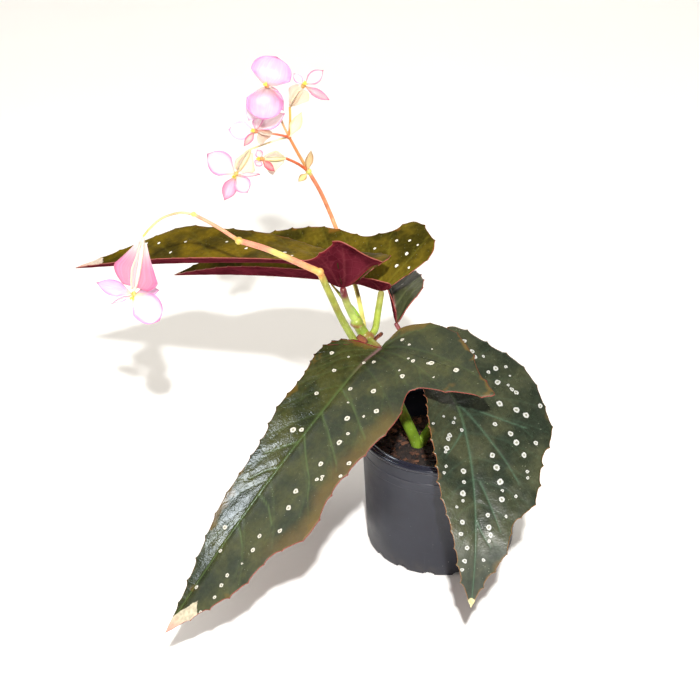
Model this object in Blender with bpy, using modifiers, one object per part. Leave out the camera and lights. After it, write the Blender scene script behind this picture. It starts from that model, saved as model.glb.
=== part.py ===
"""Angel-wing begonia in a round nursery pot: one closed solid for each piece of the plant.

Metres, +Z up. The origin is the centre of the pot's flat underside. X points to the plant's
right as it is usually seen, and -Y to the viewer. Lengths in the tables below are millimetres.
"""

import math

import bmesh
import bpy
import numpy as np
from mathutils import Matrix, Vector, noise

MM = 0.001
GAP = 0.3 * MM  # clearance between neighbouring pieces

# Pot
POT_HEIGHT = 88 * MM
POT_RIM_RADIUS = 57 * MM
POT_BASE_RADIUS = 50.8 * MM
POT_WALL = 1.5 * MM
POT_FLOOR = 2.5 * MM
RIM_BAND = 7 * MM  # height of the thicker band at the top
RIM_STEP = 1.3 * MM  # how far the band stands out of the wall
LINE_BELOW_BAND = 13 * MM  # fine moulded line round the wall
LINE_STEP = 0.4 * MM
DRAIN_NOTCHES = 16
DRAIN_WIDTH = 8 * MM
DRAIN_HEIGHT = 3.2 * MM
DRAIN_DEPTH = 5 * MM

# Soil
SOIL_TOP = 66 * MM
SOIL_BUMP = 2.2 * MM
SOIL_RINGS = 6
SOIL_SPOKES = 28

# Canes
LEFT_CANE_RADIUS = 4.0 * MM
RIGHT_CANE_RADIUS = 3.4 * MM
ROOT = (-15, 12, 50)  # both canes start here, under the soil
NODE_LOW = (-52, -6, 157)  # where leaf A, leaf D and both flower stalks leave the left cane
NODE_HIGH = (-59, -3, 168)  # where leaf C and the young shoot leave it
NODE_RIGHT = (2, 6, 101)  # where leaves B and E leave the right cane
NODE_LOW_RADIUS = 5.4 * MM
NODE_HIGH_RADIUS = 4.4 * MM
NODE_RIGHT_RADIUS = 4.4 * MM

# Leaves
BLADE = 0.9 * MM  # thickness
TEETH_ROWS = (0.0, 0.68)  # a tooth's valley and its tip, as a share of its length
COLUMNS = 3  # faces from the midrib to the margin
COMMON = dict(swing=0, roll=0, roll_end=0, bend=(-0.8, -0.8), cup=(0, 0), cup_at=0,
              cup_reach=(30, 75), funnel=4, funnel_reach=12, tooth=1.8)

# Each rib is (start on the midrib, left margin along and across, right margin along and across).
LEAF_A = dict(
    COMMON, at=(-44, -33, 165), length=222, heading=-131, swing=-4, pitch=(-24, -42),
    roll_end=4, fold=(2, 6), teeth=22,
    ribs=((0, -5, 0.6, 1, -3), (0, -20, 8, 4, -12), (0, -29, 28, 7, -20), (0, -24, 51, 11, -26),
          (0, -6, 76, 17, -30.5), (0, 2, 90, 24, -32), (3, 13, 62, 32, -31), (8, 22, 43, 41, -29),
          (20, 45, 49, 52, -28.5), (40, 73, 46, 70, -28.5), (66, 102, 44, 92, -23),
          (92, 131, 49, 114, -21), (122, 152, 36, 140, -19), (152, 178, 30, 168, -12),
          (188, 203, 14, 198, -4), (222, 222, 0, 222, 0)))
LEAF_B = dict(
    COMMON, at=(0, -45, 140), length=142, heading=-71, swing=-30, pitch=(-26, -50),
    roll=-4, fold=(4, 8), teeth=20,
    ribs=((0, -6, 1, -5, -2), (0, -28, 6, -14, -6), (0, -46, 15, -18, -13), (0, -42, 25, -12, -19),
          (0, -27, 38, -2, -20), (0, -14, 50, 8, -20), (2, 2, 56, 17, -22), (10, 22, 56, 28, -23),
          (22, 39, 55, 40, -23), (36, 54, 45, 52, -22), (54, 70, 40, 66, -22),
          (70, 82, 35, 78, -20), (86, 92, 23, 92, -16), (104, 110, 18, 108, -12),
          (122, 126, 7, 124, -8), (142, 142, 0, 142, 0)))
LEAF_C = dict(
    COMMON, at=(-68, -8, 196), length=208, heading=154.7, pitch=(-9, -15), fold=(27, 15),
    cup=(20, -25), cup_at=-14, cup_reach=(20, 75), funnel=16, funnel_reach=20,
    bend=(0, -0.3), teeth=20,
    ribs=((0, -4, 1, -4, -1), (0, -24, 5, -16, -8), (0, -37, 14, -25, -20), (0, -31, 25, -18, -31),
          (0, -17, 35, -4, -37), (0, -8, 31, 8, -36), (2, 2, 27, 20, -33), (8, 14, 25, 32, -35),
          (18, 32, 26, 48, -39), (34, 54, 28, 66, -42), (54, 78, 30, 88, -42),
          (78, 100, 30, 110, -42), (104, 124, 27, 138, -44), (134, 150, 20, 160, -31),
          (172, 182, 10, 184, -14), (208, 208, 0, 208, 0)))
LEAF_D = dict(
    COMMON, at=(-43, 20, 180), length=185, heading=145.4, pitch=(-8, -17), fold=(36, 32),
    funnel=3, teeth=18,
    ribs=((0, -4, 1, -9, -5), (0, -12, 6, -17, -14), (0, -16, 14, -23, -24), (0, -12, 20, -25, -36),
          (0, -4, 24, -16, -48), (0, 6, 26, 1, -58), (3, 16, 27, 14, -47), (10, 26, 28, 32, -40),
          (24, 40, 28, 54, -44), (44, 58, 27, 72, -46), (64, 78, 26, 90, -44),
          (86, 98, 24, 110, -40), (110, 120, 20, 128, -32), (132, 140, 14, 146, -22),
          (158, 164, 7, 168, -9), (185, 185, 0, 185, 0)))
LEAF_E = dict(
    COMMON, at=(-32, 30, 151), length=66, heading=100, pitch=(2, -12), fold=(62, 28),
    funnel=15, funnel_reach=8, teeth=12, tooth=1.1,
    ribs=((0, -3, 1, -3, -1), (0, -6, 4, -6, -6), (0, -6, 9, -5, -12), (0, -3, 14, -1, -18),
          (2, 2, 18, 6, -22), (8, 10, 20, 15, -23), (18, 20, 20, 26, -21), (34, 36, 16, 42, -15),
          (50, 52, 8, 56, -7), (66, 66, 0, 66, 0)))
LEAVES = {"leaf_a": LEAF_A, "leaf_b": LEAF_B, "leaf_c": LEAF_C, "leaf_d": LEAF_D, "leaf_e": LEAF_E}

# Stalks: points, then the radius at each end
PETIOLE_A = (((-52, -6, 157), (-47, -19, 160)), 2.4, 2.2)
PETIOLE_B = (((2, 6, 101), (5, -6, 112), (4, -22, 126)), 2.4, 2.1)
PETIOLE_C = (((-59, -3, 168), (-63, -5, 177), (-66, -7, 186)), 2.7, 2.3)
PETIOLE_D = (((-52, -6, 157), (-47, 0, 161), (-45, 10, 168)), 2.4, 2.2)
PETIOLE_E = (((2, 6, 101), (-5, 12, 117), (-23, 24, 137)), 1.9, 1.5)
SHOOT = ((-57, -1, 166), (-61, 3, 173), (-68, 7, 181), (-76, 12, 189))

LOWER_STALK = ((-56, -8, 154), (-59, -10, 156), (-62, -14, 163), (-69, -20, 180),
               (-75, -27, 198), (-82, -35, 219))
LOWER_RACHIS = ((-82, -35, 219), (-94, -29, 222), (-107, -24, 226), (-118, -18, 228),
                (-133, -12, 230))
LOWER_TWIG = ((-133, -12, 230), (-147, -4, 236), (-162, 2, 242))
LOWER_PEDICEL = ((-162, 2, 242), (-171, 2, 243), (-182, 3, 239), (-190, 4, 232),
                 (-195, 4, 226))

UPPER_STALK = ((-53, 0, 155), (-55, 16, 162), (-59, 38, 172), (-66, 64, 183), (-70, 82, 189),
               (-74, 97, 194), (-78, 101, 203), (-84, 102, 217), (-92, 102, 232))
UPPER_RACHIS = ((-92, 102, 232), (-99, 102, 245), (-105, 102, 257))
TWIG_TO_1 = ((-105, 102, 257), (-110, 100, 270), (-112, 94, 285))
TWIG_TO_2 = ((-105, 102, 257), (-104, 100, 270), (-104, 98, 280))
TWIG_TO_3 = ((-105, 102, 257), (-111, 98, 260), (-116, 95, 262))
TWIG_TO_5 = ((-92, 102, 232), (-99, 98, 239), (-107, 93, 245))
TWIG_TO_4 = ((-105, 102, 257), (-111, 104, 255), (-120, 101, 253), (-131, 92, 252))

# Blooms. RIGHT, RISE and OUT are a bloom's own axes: across, up, and towards the viewer.
RIGHT = Vector((1, 0, 0))
RISE = Vector((0, 0.42, 0.907))
OUT = Vector((0, -0.907, 0.42))
TEPAL = 0.7 * MM
# A tepal is (right, rise, out) of its tip from the bloom's mouth, its width, its cup, its twist.
BLOOMS = {
    "bloom_hanging": dict(
        stalk=LOWER_PEDICEL, mouth=(-203, 2, 188), body=2.6,
        wings=((355, 14, 0.6), (165, 13, 0.72), (75, 8, 0.5)),
        tepals=((-24, 6, 3, 11, 2, 10), (17, -19, 4, 20, 3, 0), (-16, -8, -4, 4, 1, 50),
                (15, 1, -6, 9, 2, -20))),
    "bloom_top": dict(
        stalk=TWIG_TO_1, mouth=(-118, 87, 297), body=2.0,
        wings=((0, 3, 0.4), (180, 3, 0.4), (270, 3, 0.4)),
        tepals=((6, 20, 1, 27, 3, 0), (-4, -20, 5, 25, 3, 0), (-13, -21, -5, 14, 2, 10),
                (11, -15, 1, 10, 2, -25))),
    "bloom_right": dict(
        stalk=TWIG_TO_2, mouth=(-95, 94, 295), body=2.4,
        wings=((90, 8, 0.5), (330, 7, 0.55), (210, 7, 0.45)),
        tepals=((14, 11, 2, 9, 2, 0), (18, -9, 2, 6, 2, 10), (-6, 9, 0, 6, 1, -20))),
    "bloom_middle": dict(
        stalk=TWIG_TO_3, mouth=(-126, 88, 266), body=2.2,
        wings=((110, 5, 0.5), (190, 7, 0.6), (270, 4, 0.6)),
        tepals=((-19, 1, 2, 13, 2, 0), (-9, -10, 3, 5, 2, 20), (3, 10, -2, 9, 2, 0),
                (19, 12, 3, 10, 2, -10))),
    "bloom_left": dict(
        stalk=TWIG_TO_4, mouth=(-140, 85, 238), body=2.4,
        wings=((75, 7, 0.6), (195, 8, 0.6), (315, 6, 0.55)),
        tepals=((-20, 12, 8, 17, 2, 0), (-9, -19, 0, 10, 2, 10), (7, -14, 2, 12, 2, 0),
                (16, -2, 4, 4, 1, 40))),
    "bloom_low": dict(
        stalk=TWIG_TO_5, mouth=(-122, 89, 246), body=2.3,
        wings=((60, 8, 0.5), (190, 9, 0.6), (300, 6, 0.6)),
        tepals=((8, -9, 6, 5, 2, 0), (-5, -5, 2, 6, 2, 0), (-4, 6, -1, 6, 2, 20))),
}

# Papery scales: foot, tip, width, and the way the outer face looks
SCALES = {
    "stipule_front": ((-54.5, -12.5, 153.5), (-56, -19.5, 165), 6, (-0.3, -1, 0.2)),
    "stipule_side": ((-45.3, -7, 156), (-45, -12, 164), 6, (1, -0.4, 0.2)),
    "bract_up": ((-93, 99, 234), (-90, 96, 250), 6, (0.3, -0.9, 0.1)),
    "bract_down": ((-93.2, 99.4, 231.2), (-99, 95, 227), 5, (-0.5, -1, 0.2)),
    "bract_pale": ((-103.7, 100.3, 258.3), (-96, 97, 277), 8, (0.2, -1, 0.2)),
}

COLOURS = {
    "pot": ((0.045, 0.048, 0.058), 0.5),
    "soil": ((0.06, 0.028, 0.014), 0.95),
    "cane": ((0.25, 0.42, 0.05), 0.35),
    "leaf": ((0.035, 0.065, 0.018), 0.25),
    "stalk": ((0.75, 0.22, 0.09), 0.4),
    "scale": ((0.3, 0.13, 0.05), 0.8),
    "bract": ((0.62, 0.6, 0.28), 0.6),
    "ovary": ((0.9, 0.62, 0.5), 0.45),
    "tepal": ((0.92, 0.6, 0.72), 0.5),
    "heart": ((0.9, 0.75, 0.12), 0.5),
}

PLANT = "potted_begonia"


def clear_scene():
    for obj in list(bpy.data.objects):
        bpy.data.objects.remove(obj, do_unlink=True)


def new_collection(name):
    collection = bpy.data.collections.new(name)
    bpy.context.scene.collection.children.link(collection)
    return collection


def material(name):
    found = bpy.data.materials.get(name)
    if found:
        return found
    made = bpy.data.materials.new(name)
    made.use_nodes = True
    shader = made.node_tree.nodes["Principled BSDF"]
    colour, roughness = COLOURS[name]
    shader.inputs["Base Color"].default_value = (*colour, 1)
    shader.inputs["Roughness"].default_value = roughness
    shader.inputs["Metallic"].default_value = 0
    made.diffuse_color = (*colour, 1)
    return made


def new_object(name, mesh, colour, collection):
    obj = bpy.data.objects.new(name, mesh)
    collection.objects.link(obj)
    obj.data.materials.clear()
    obj.data.materials.append(material(colour))
    return obj


def mm(point):
    return Vector(point) * MM


def applied(obj):
    """Turns the object into a plain mesh of what its modifiers or its curve make."""
    bpy.context.view_layer.update()
    graph = bpy.context.evaluated_depsgraph_get()
    mesh = bpy.data.meshes.new_from_object(obj.evaluated_get(graph))
    bm = bmesh.new()
    bm.from_mesh(mesh)
    bmesh.ops.remove_doubles(bm, verts=bm.verts, dist=0.002 * MM)
    bm.to_mesh(mesh)
    bm.free()
    made = bpy.data.objects.new(obj.name + "_mesh", mesh)
    made.matrix_world = obj.matrix_world
    for collection in obj.users_collection:
        collection.objects.link(made)
    name = obj.name
    bpy.data.objects.remove(obj, do_unlink=True)
    made.name = name
    return made


def boolean(obj, operation, other):
    """Cuts or joins obj with one object, and leaves a plain mesh."""
    modifier = obj.modifiers.new(operation.title(), "BOOLEAN")
    modifier.operation = operation
    modifier.solver = "EXACT"
    modifier.object = other
    made = applied(obj)
    bpy.data.objects.remove(other, do_unlink=True)
    return made


def joined(name, pieces, colour, collection):
    """One body from pieces that overlap."""
    parts = new_collection(name + "_parts")
    for piece in pieces[1:]:
        for old in piece.users_collection:
            old.objects.unlink(piece)
        parts.objects.link(piece)
    body = pieces[0]
    modifier = body.modifiers.new("Join", "BOOLEAN")
    modifier.operation = "UNION"
    modifier.solver = "EXACT"
    modifier.operand_type = "COLLECTION"
    modifier.collection = parts
    body = applied(body)
    for piece in list(parts.objects):
        bpy.data.objects.remove(piece, do_unlink=True)
    bpy.data.collections.remove(parts)
    body.name = name
    body.data.materials.clear()
    body.data.materials.append(material(colour))
    body.data.shade_smooth()
    body.data.set_sharp_from_angle(angle=math.radians(40))
    return body


def smooth_route(points, steps):
    """Points of a Catmull-Rom curve through the given ones."""
    p = [Vector(q) for q in points]
    p = [2 * p[0] - p[1]] + p + [2 * p[-1] - p[-2]]
    route = []
    for i in range(1, len(p) - 2):
        for k in range(steps):
            t = k / steps
            a, b, c, d = p[i - 1:i + 3]
            route.append(0.5 * (2 * b + (c - a) * t + (2 * a - 5 * b + 4 * c - d) * t * t
                                + (3 * b - a - 3 * c + d) * t ** 3))
    return route + [p[-2]]


def tube(name, points, first_radius, last_radius, collection, steps=2):
    """A round stalk through points given in mm, tapered from one radius to the other."""
    route = smooth_route(points, steps)
    curve = bpy.data.curves.new(name, "CURVE")
    curve.dimensions = "3D"
    curve.bevel_depth = MM
    curve.bevel_resolution = 2
    curve.use_fill_caps = True
    spline = curve.splines.new("POLY")
    spline.points.add(len(route) - 1)
    for i, point in enumerate(route):
        share = i / (len(route) - 1)
        spline.points[i].co = (*(point * MM), 1)
        spline.points[i].radius = first_radius + (last_radius - first_radius) * share
    obj = bpy.data.objects.new(name, curve)
    collection.objects.link(obj)
    return applied(obj)


def ball(name, centre, radius, collection, spokes=10, rings=6):
    bm = bmesh.new()
    bmesh.ops.create_uvsphere(bm, u_segments=spokes, v_segments=rings, radius=radius)
    bmesh.ops.translate(bm, vec=centre, verts=bm.verts)
    mesh = bpy.data.meshes.new(name)
    bm.to_mesh(mesh)
    bm.free()
    obj = bpy.data.objects.new(name, mesh)
    collection.objects.link(obj)
    return obj


# Leaf shape

def leaf_frame(leaf, u):
    """The midrib's direction, its left side and the blade's normal at distance u along it."""
    share = np.clip(u / leaf["length"], 0, 1)
    heading = np.radians(leaf["heading"] + leaf["swing"] * share)
    pitch = np.radians(leaf["pitch"][0] + (leaf["pitch"][1] - leaf["pitch"][0]) * share)
    roll = np.radians(leaf["roll"] + (leaf["roll_end"] - leaf["roll"]) * share)[..., None]
    along = np.stack([np.cos(pitch) * np.cos(heading), np.cos(pitch) * np.sin(heading),
                      np.sin(pitch)], -1)
    level = np.stack([-np.sin(heading), np.cos(heading), 0 * heading], -1)
    above = np.cross(along, level)
    return (along, level * np.cos(roll) + above * np.sin(roll),
            above * np.cos(roll) - level * np.sin(roll))


def midrib_points(leaf, u):
    steps = np.linspace(0, leaf["length"], 65)
    along = leaf_frame(leaf, steps)[0]
    moves = (along[1:] + along[:-1]) / 2 * np.diff(steps)[:, None]
    rib = np.vstack([np.zeros(3), np.cumsum(moves, axis=0)])
    inside = np.clip(u, 0, leaf["length"])
    at_u = np.stack([np.interp(inside, steps, rib[:, k]) for k in range(3)], -1)
    return np.array(leaf["at"]) + at_u + leaf_frame(leaf, u)[0] * (u - inside)[..., None]


def blade_points(leaf, u, v, side):
    """Points of the blade's middle surface, in mm. side is 0 for the left half, 1 for the right."""
    _, left, normal = leaf_frame(leaf, u)
    near = np.exp(-((u - (leaf["cup_at"] if side == 0 else 0)) / leaf["cup_reach"][side]) ** 2)
    fold = np.radians(leaf["fold"][side] + leaf["cup"][side] * near)
    across = np.abs(v)
    from_stalk = np.hypot(u, v) / leaf["funnel_reach"]
    height = (across * np.sin(fold) + leaf["bend"][side] * MM * across ** 2
              + leaf["funnel"] * (1 - np.exp(-from_stalk ** 2)))
    return (midrib_points(leaf, u) + left * (v * np.cos(fold))[..., None]
            + normal * height[..., None])


def rib_rows(leaf, shares):
    """The ribs at the given shares of the margin's length, by a smooth curve through the table."""
    table = np.array(leaf["ribs"], float)
    padded = np.vstack([2 * table[0] - table[1], table, 2 * table[-1] - table[-2]])

    def at(s):
        i = np.minimum(s.astype(int), len(table) - 2)
        f = (s - i)[:, None]
        a, b, c, d = padded[i], padded[i + 1], padded[i + 2], padded[i + 3]
        return 0.5 * (2 * b + (c - a) * f + (2 * a - 5 * b + 4 * c - d) * f ** 2
                      + (3 * b - a - 3 * c + d) * f ** 3)

    fine = np.linspace(0, len(table) - 1, 600)
    rows = at(fine)
    length = sum(np.linalg.norm(np.diff(rows[:, k:k + 2], axis=0), axis=1) for k in (1, 3))
    arc = np.concatenate([[0], np.cumsum(length)])
    return at(np.interp(np.asarray(shares) * arc[-1], arc, fine))


def tooth_wave(leaf, shares):
    """0 in a tooth's valley and up to 1 at its tip, which leans to the leaf's tip."""
    phase = np.asarray(shares) * leaf["teeth"]
    count, place = np.floor(phase + 1e-6), phase - np.floor(phase + 1e-6)
    peak = TEETH_ROWS[1]
    wave = np.where(place < peak, place / peak, (1 - place) / (1 - peak))
    size = 0.55 + 0.45 * np.sin(count * 12.99) ** 2
    fade = np.clip(np.minimum(shares * 14, (1 - np.asarray(shares)) * 14), 0, 1)
    return wave * size * fade


def margins(leaf, rows, shares):
    """Left and right margin points with their teeth."""
    edges = []
    for first, turn in ((1, 1), (3, -1)):
        edge = rows[:, first:first + 2]
        run = np.gradient(edge, axis=0)
        run /= np.maximum(np.linalg.norm(run, axis=1), 1e-6)[:, None]
        outward = np.stack([-run[:, 1], run[:, 0]], -1) * turn
        edges.append(edge + outward * (tooth_wave(leaf, shares) * leaf["tooth"])[:, None])
    return edges


def tooth_shares(leaf):
    count = leaf["teeth"]
    shares = [(tooth + part) / count for tooth in range(count) for part in TEETH_ROWS]
    return np.array(shares + [1.0])


def make_leaf(name, leaf, collection):
    """A triangulated open blade, thickened on both sides alike."""
    shares = tooth_shares(leaf)
    rows = rib_rows(leaf, shares)
    bm = bmesh.new()
    reach = np.linspace(0, 1, COLUMNS + 1)
    for side, edge in enumerate(margins(leaf, rows, shares)):
        u = rows[:, :1] * (1 - reach) + edge[:, :1] * reach
        v = edge[:, 1:] * reach
        points = blade_points(leaf, u, v, side) * MM
        grid = [[bm.verts.new(p) for p in line] for line in points]
        for low, high in zip(grid, grid[1:]):
            for k in range(COLUMNS):
                a, b, c, d = low[k], low[k + 1], high[k + 1], high[k]
                for corners in ((a, c, b), (a, d, c)) if side == 0 else ((a, b, c), (a, c, d)):
                    bm.faces.new(corners)
    bmesh.ops.remove_doubles(bm, verts=bm.verts, dist=0.01 * MM)
    bmesh.ops.dissolve_degenerate(bm, edges=bm.edges, dist=0.001 * MM)
    mesh = bpy.data.meshes.new(name)
    bm.to_mesh(mesh)
    bm.free()
    obj = new_object(name, mesh, "leaf", collection)
    thicken = obj.modifiers.new("Thickness", "SOLIDIFY")
    thicken.thickness = BLADE
    thicken.offset = 0
    mesh.shade_smooth()
    return obj


def stalk_end(leaf, radius):
    """Where a petiole's round end stops, just under the blade's lowest point."""
    at = midrib_points(leaf, np.zeros(1))[0]
    normal = leaf_frame(leaf, np.zeros(1))[2][0]
    return tuple(at - normal * (radius + (BLADE / 2 + GAP) / MM + 0.15))


# Pieces

def pot_wall(height):
    """The tapered wall's outer radius at this height."""
    taper = (POT_RIM_RADIUS - RIM_STEP - POT_BASE_RADIUS) / (POT_HEIGHT - RIM_BAND)
    return POT_BASE_RADIUS + taper * height


def pot_profile():
    """Half section: from the inner lip over the rim to the foot, then up the inside."""
    band = POT_HEIGHT - RIM_BAND
    line = band - LINE_BELOW_BAND
    outer = [(pot_wall(band) - 3 * MM, POT_HEIGHT - 0.3 * MM),
             (POT_RIM_RADIUS - 2.2 * MM, POT_HEIGHT),
             (POT_RIM_RADIUS - 0.6 * MM, POT_HEIGHT - 0.3 * MM),
             (POT_RIM_RADIUS, POT_HEIGHT - 1.2 * MM), (POT_RIM_RADIUS - 0.3 * MM, band + 0.6 * MM),
             (POT_RIM_RADIUS - 0.7 * MM, band), (pot_wall(band), band - 0.2 * MM),
             (pot_wall(line), line + 0.5 * MM), (pot_wall(line) - LINE_STEP, line - 0.5 * MM),
             (POT_BASE_RADIUS, 1.2 * MM), (POT_BASE_RADIUS - 1.2 * MM, 0), (0, 0)]
    inner = [(0, POT_FLOOR), (POT_BASE_RADIUS - POT_WALL - 1 * MM, POT_FLOOR),
             (POT_BASE_RADIUS - POT_WALL, POT_FLOOR + 1 * MM),
             (pot_wall(band) - POT_WALL, band - 2 * MM)]
    return outer, inner


def turned_pot(collection):
    """The section turned round the axis. Its two ends meet the axis, so no edge joins them."""
    outer, inner = pot_profile()
    profile = bmesh.new()
    verts = [profile.verts.new((x, 0, z)) for x, z in outer + inner]
    for k, (a, b) in enumerate(zip(verts, verts[1:] + verts[:1])):
        if k != len(outer) - 1:
            profile.edges.new((a, b))
    mesh = bpy.data.meshes.new("pot")
    profile.to_mesh(mesh)
    profile.free()
    pot = new_object("pot", mesh, "pot", collection)
    turn = pot.modifiers.new("Turn", "SCREW")
    turn.steps = turn.render_steps = 44
    turn.use_merge_vertices = True
    turn.merge_threshold = 0.01 * MM
    return applied(pot)


def drain_cutter(collection):
    """Blocks that cut the notches into the pot's bottom corner."""
    bm = bmesh.new()
    for k in range(DRAIN_NOTCHES):
        block = bmesh.ops.create_cube(bm, size=1)["verts"]
        bmesh.ops.scale(bm, vec=(DRAIN_DEPTH + 4 * MM, DRAIN_WIDTH, 2 * DRAIN_HEIGHT), verts=block)
        bmesh.ops.translate(bm, vec=(POT_BASE_RADIUS - DRAIN_DEPTH / 2 + 2 * MM, 0, 0),
                            verts=block)
        turn = Matrix.Rotation(2 * math.pi * (k + 0.5) / DRAIN_NOTCHES, 3, "Z")
        bmesh.ops.rotate(bm, cent=(0, 0, 0), matrix=turn, verts=block)
    mesh = bpy.data.meshes.new("drain_cutter")
    bm.to_mesh(mesh)
    bm.free()
    cutter = bpy.data.objects.new("drain_cutter", mesh)
    collection.objects.link(cutter)
    return cutter


def make_pot(collection):
    """The wall is one turned section, and the drain notches are cut out of its bottom corner."""
    pot = boolean(turned_pot(collection), "DIFFERENCE", drain_cutter(collection))
    pot.data.shade_smooth()
    pot.data.set_sharp_from_angle(angle=math.radians(30))


def soil_height(x, y):
    place = Vector((x, y, 0)) / (11 * MM)
    return SOIL_TOP + SOIL_BUMP * noise.noise(place) + 0.4 * SOIL_BUMP * noise.noise(place * 2.7)


def soil_rings():
    """Points from the middle of the top to the wall, then down inside the pot to its floor."""
    inside = pot_wall(0) - POT_WALL
    lip = pot_wall(SOIL_TOP - 4 * MM) - POT_WALL - 2.4 * GAP
    knee = pot_wall(10 * MM) - POT_WALL - 2.4 * GAP
    turns = [2 * math.pi * j / SOIL_SPOKES for j in range(SOIL_SPOKES)]
    rings = []
    for k in range(1, SOIL_RINGS + 1):
        radius = lip * (k / SOIL_RINGS) ** 0.85
        places = [(radius * math.cos(a), radius * math.sin(a)) for a in turns]
        rings.append([(x, y, soil_height(x, y)) for x, y in places])
    for radius, height in ((lip, SOIL_TOP - 8 * MM), (knee, 10 * MM),
                           (inside - 1.2 * MM, POT_FLOOR + GAP)):
        rings.append([(radius * math.cos(a), radius * math.sin(a), height) for a in turns])
    return rings


def soil_block(collection):
    bm = bmesh.new()
    rings = [[bm.verts.new(point) for point in ring] for ring in soil_rings()]
    top = bm.verts.new((0, 0, soil_height(0, 0)))
    under = bm.verts.new((0, 0, POT_FLOOR + GAP))
    for j in range(SOIL_SPOKES):
        k = (j + 1) % SOIL_SPOKES
        for inner, outer in zip(rings, rings[1:]):
            bm.faces.new((inner[j], outer[j], outer[k]))
            bm.faces.new((inner[j], outer[k], inner[k]))
        bm.faces.new((top, rings[0][j], rings[0][k]))
        bm.faces.new((under, rings[-1][k], rings[-1][j]))
    mesh = bpy.data.meshes.new("soil")
    bm.to_mesh(mesh)
    bm.free()
    return new_object("soil", mesh, "soil", collection)


def make_soil(collection):
    """Fills the pot to its bumpy top, with room for the canes that stand in it."""
    soil = soil_block(collection)
    for k, (route, radius) in enumerate(cane_routes()):
        hole_radius = (radius + GAP) / MM
        hole = tube(f"hole_{k}", route, hole_radius, hole_radius, collection)
        soil = boolean(soil, "DIFFERENCE", hole)
    plug = ball("root_hole", mm(ROOT), LEFT_CANE_RADIUS + 0.6 * MM + GAP, collection)
    soil = boolean(soil, "DIFFERENCE", plug)
    soil.data.shade_smooth()


def cane_routes():
    return (((ROOT, (-17.5, 9, 68), (-29, 3, 99), NODE_LOW), LEFT_CANE_RADIUS),
            ((ROOT, (-13.5, 11, 68), (-8, 9, 81), NODE_RIGHT), RIGHT_CANE_RADIUS))


def make_canes(collection):
    """Both canes with their swollen nodes, the petioles and the young shoot grow as one piece."""
    pieces = []
    for k, (route, radius) in enumerate(cane_routes()):
        pieces.append(tube(f"cane_{k}", route, radius / MM, radius / MM * 0.95, collection))
    pieces.append(ball("root", mm(ROOT), LEFT_CANE_RADIUS + 0.6 * MM, collection))
    pieces.append(tube("upper_cane", (NODE_LOW, NODE_HIGH), 3.9, 3.6, collection, steps=1))
    for name, centre, radius in (("node_low", NODE_LOW, NODE_LOW_RADIUS),
                                 ("node_high", NODE_HIGH, NODE_HIGH_RADIUS),
                                 ("node_right", NODE_RIGHT, NODE_RIGHT_RADIUS)):
        pieces.append(ball(name, mm(centre), radius, collection))
    pieces.append(tube("shoot", SHOOT, 3.0, 0.5, collection))
    for leaf, (route, first, last) in ((LEAF_A, PETIOLE_A), (LEAF_B, PETIOLE_B),
                                       (LEAF_C, PETIOLE_C), (LEAF_D, PETIOLE_D),
                                       (LEAF_E, PETIOLE_E)):
        end = stalk_end(leaf, last)
        pieces.append(tube("petiole", (*route, end), first, last, collection))
        pieces.append(ball("petiole_end", mm(end), last * MM, collection, spokes=8))
    return joined("canes", pieces, "cane", collection)


def make_stalk(name, parts, balls, collection):
    """A flower stalk: tapering lengths between swollen joints, cut clear of the cane's node."""
    pieces = [tube(name, route, first, last, collection) for route, first, last in parts]
    pieces += [ball(name + "_joint", mm(at), radius * MM, collection, spokes=8)
               for at, radius in balls]
    stalk = joined(name, pieces, "stalk", collection)
    cutter = ball("cane_clearance", mm(NODE_LOW), NODE_LOW_RADIUS + 1.5 * GAP, collection,
                  spokes=20, rings=12)
    return boolean(stalk, "DIFFERENCE", cutter)


def petal_mesh(name, foot, tip, width, cup, twist, thickness, facing, pointed, collection):
    """A cupped blade from foot to tip. facing is the way its inner face looks."""
    along = tip - foot
    length = along.length
    along.normalize()
    across = along.cross(facing).normalized()
    turn = math.radians(twist)
    out = across.cross(along)
    across = across * math.cos(turn) + out * math.sin(turn)
    out = across.cross(along)
    rows, half = 6, 1 if width < 9 * MM else 2
    bm = bmesh.new()
    grid = []
    for i in range(rows + 1):
        t = i / rows if pointed else (1 - math.cos(math.pi * i / rows)) / 2
        tip_reach = 0.3 * MM + 0.06 * width
        full = width / 2 * math.sin(math.pi * i / rows) * min(1, 0.3 + 0.35 * i)
        reach = max(full, 0.9 * MM * (1 - t), tip_reach * t)
        line = []
        for j in range(-half, half + 1):
            s = j / half
            lift = cup * (1 - s * s) * math.sin(math.pi * t) - cup * 0.6 * t * t
            line.append(bm.verts.new(foot + along * (length * t) + across * (reach * s)
                                     - out * lift))
        grid.append(line)
    for low, high in zip(grid, grid[1:]):
        for k in range(2 * half):
            bm.faces.new((low[k], low[k + 1], high[k + 1]))
            bm.faces.new((low[k], high[k + 1], high[k]))
    mesh = bpy.data.meshes.new(name)
    bm.to_mesh(mesh)
    bm.free()
    obj = bpy.data.objects.new(name, mesh)
    collection.objects.link(obj)
    thicken = obj.modifiers.new("Thickness", "SOLIDIFY")
    thicken.thickness = thickness
    thicken.offset = 0
    return applied(obj)


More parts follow.
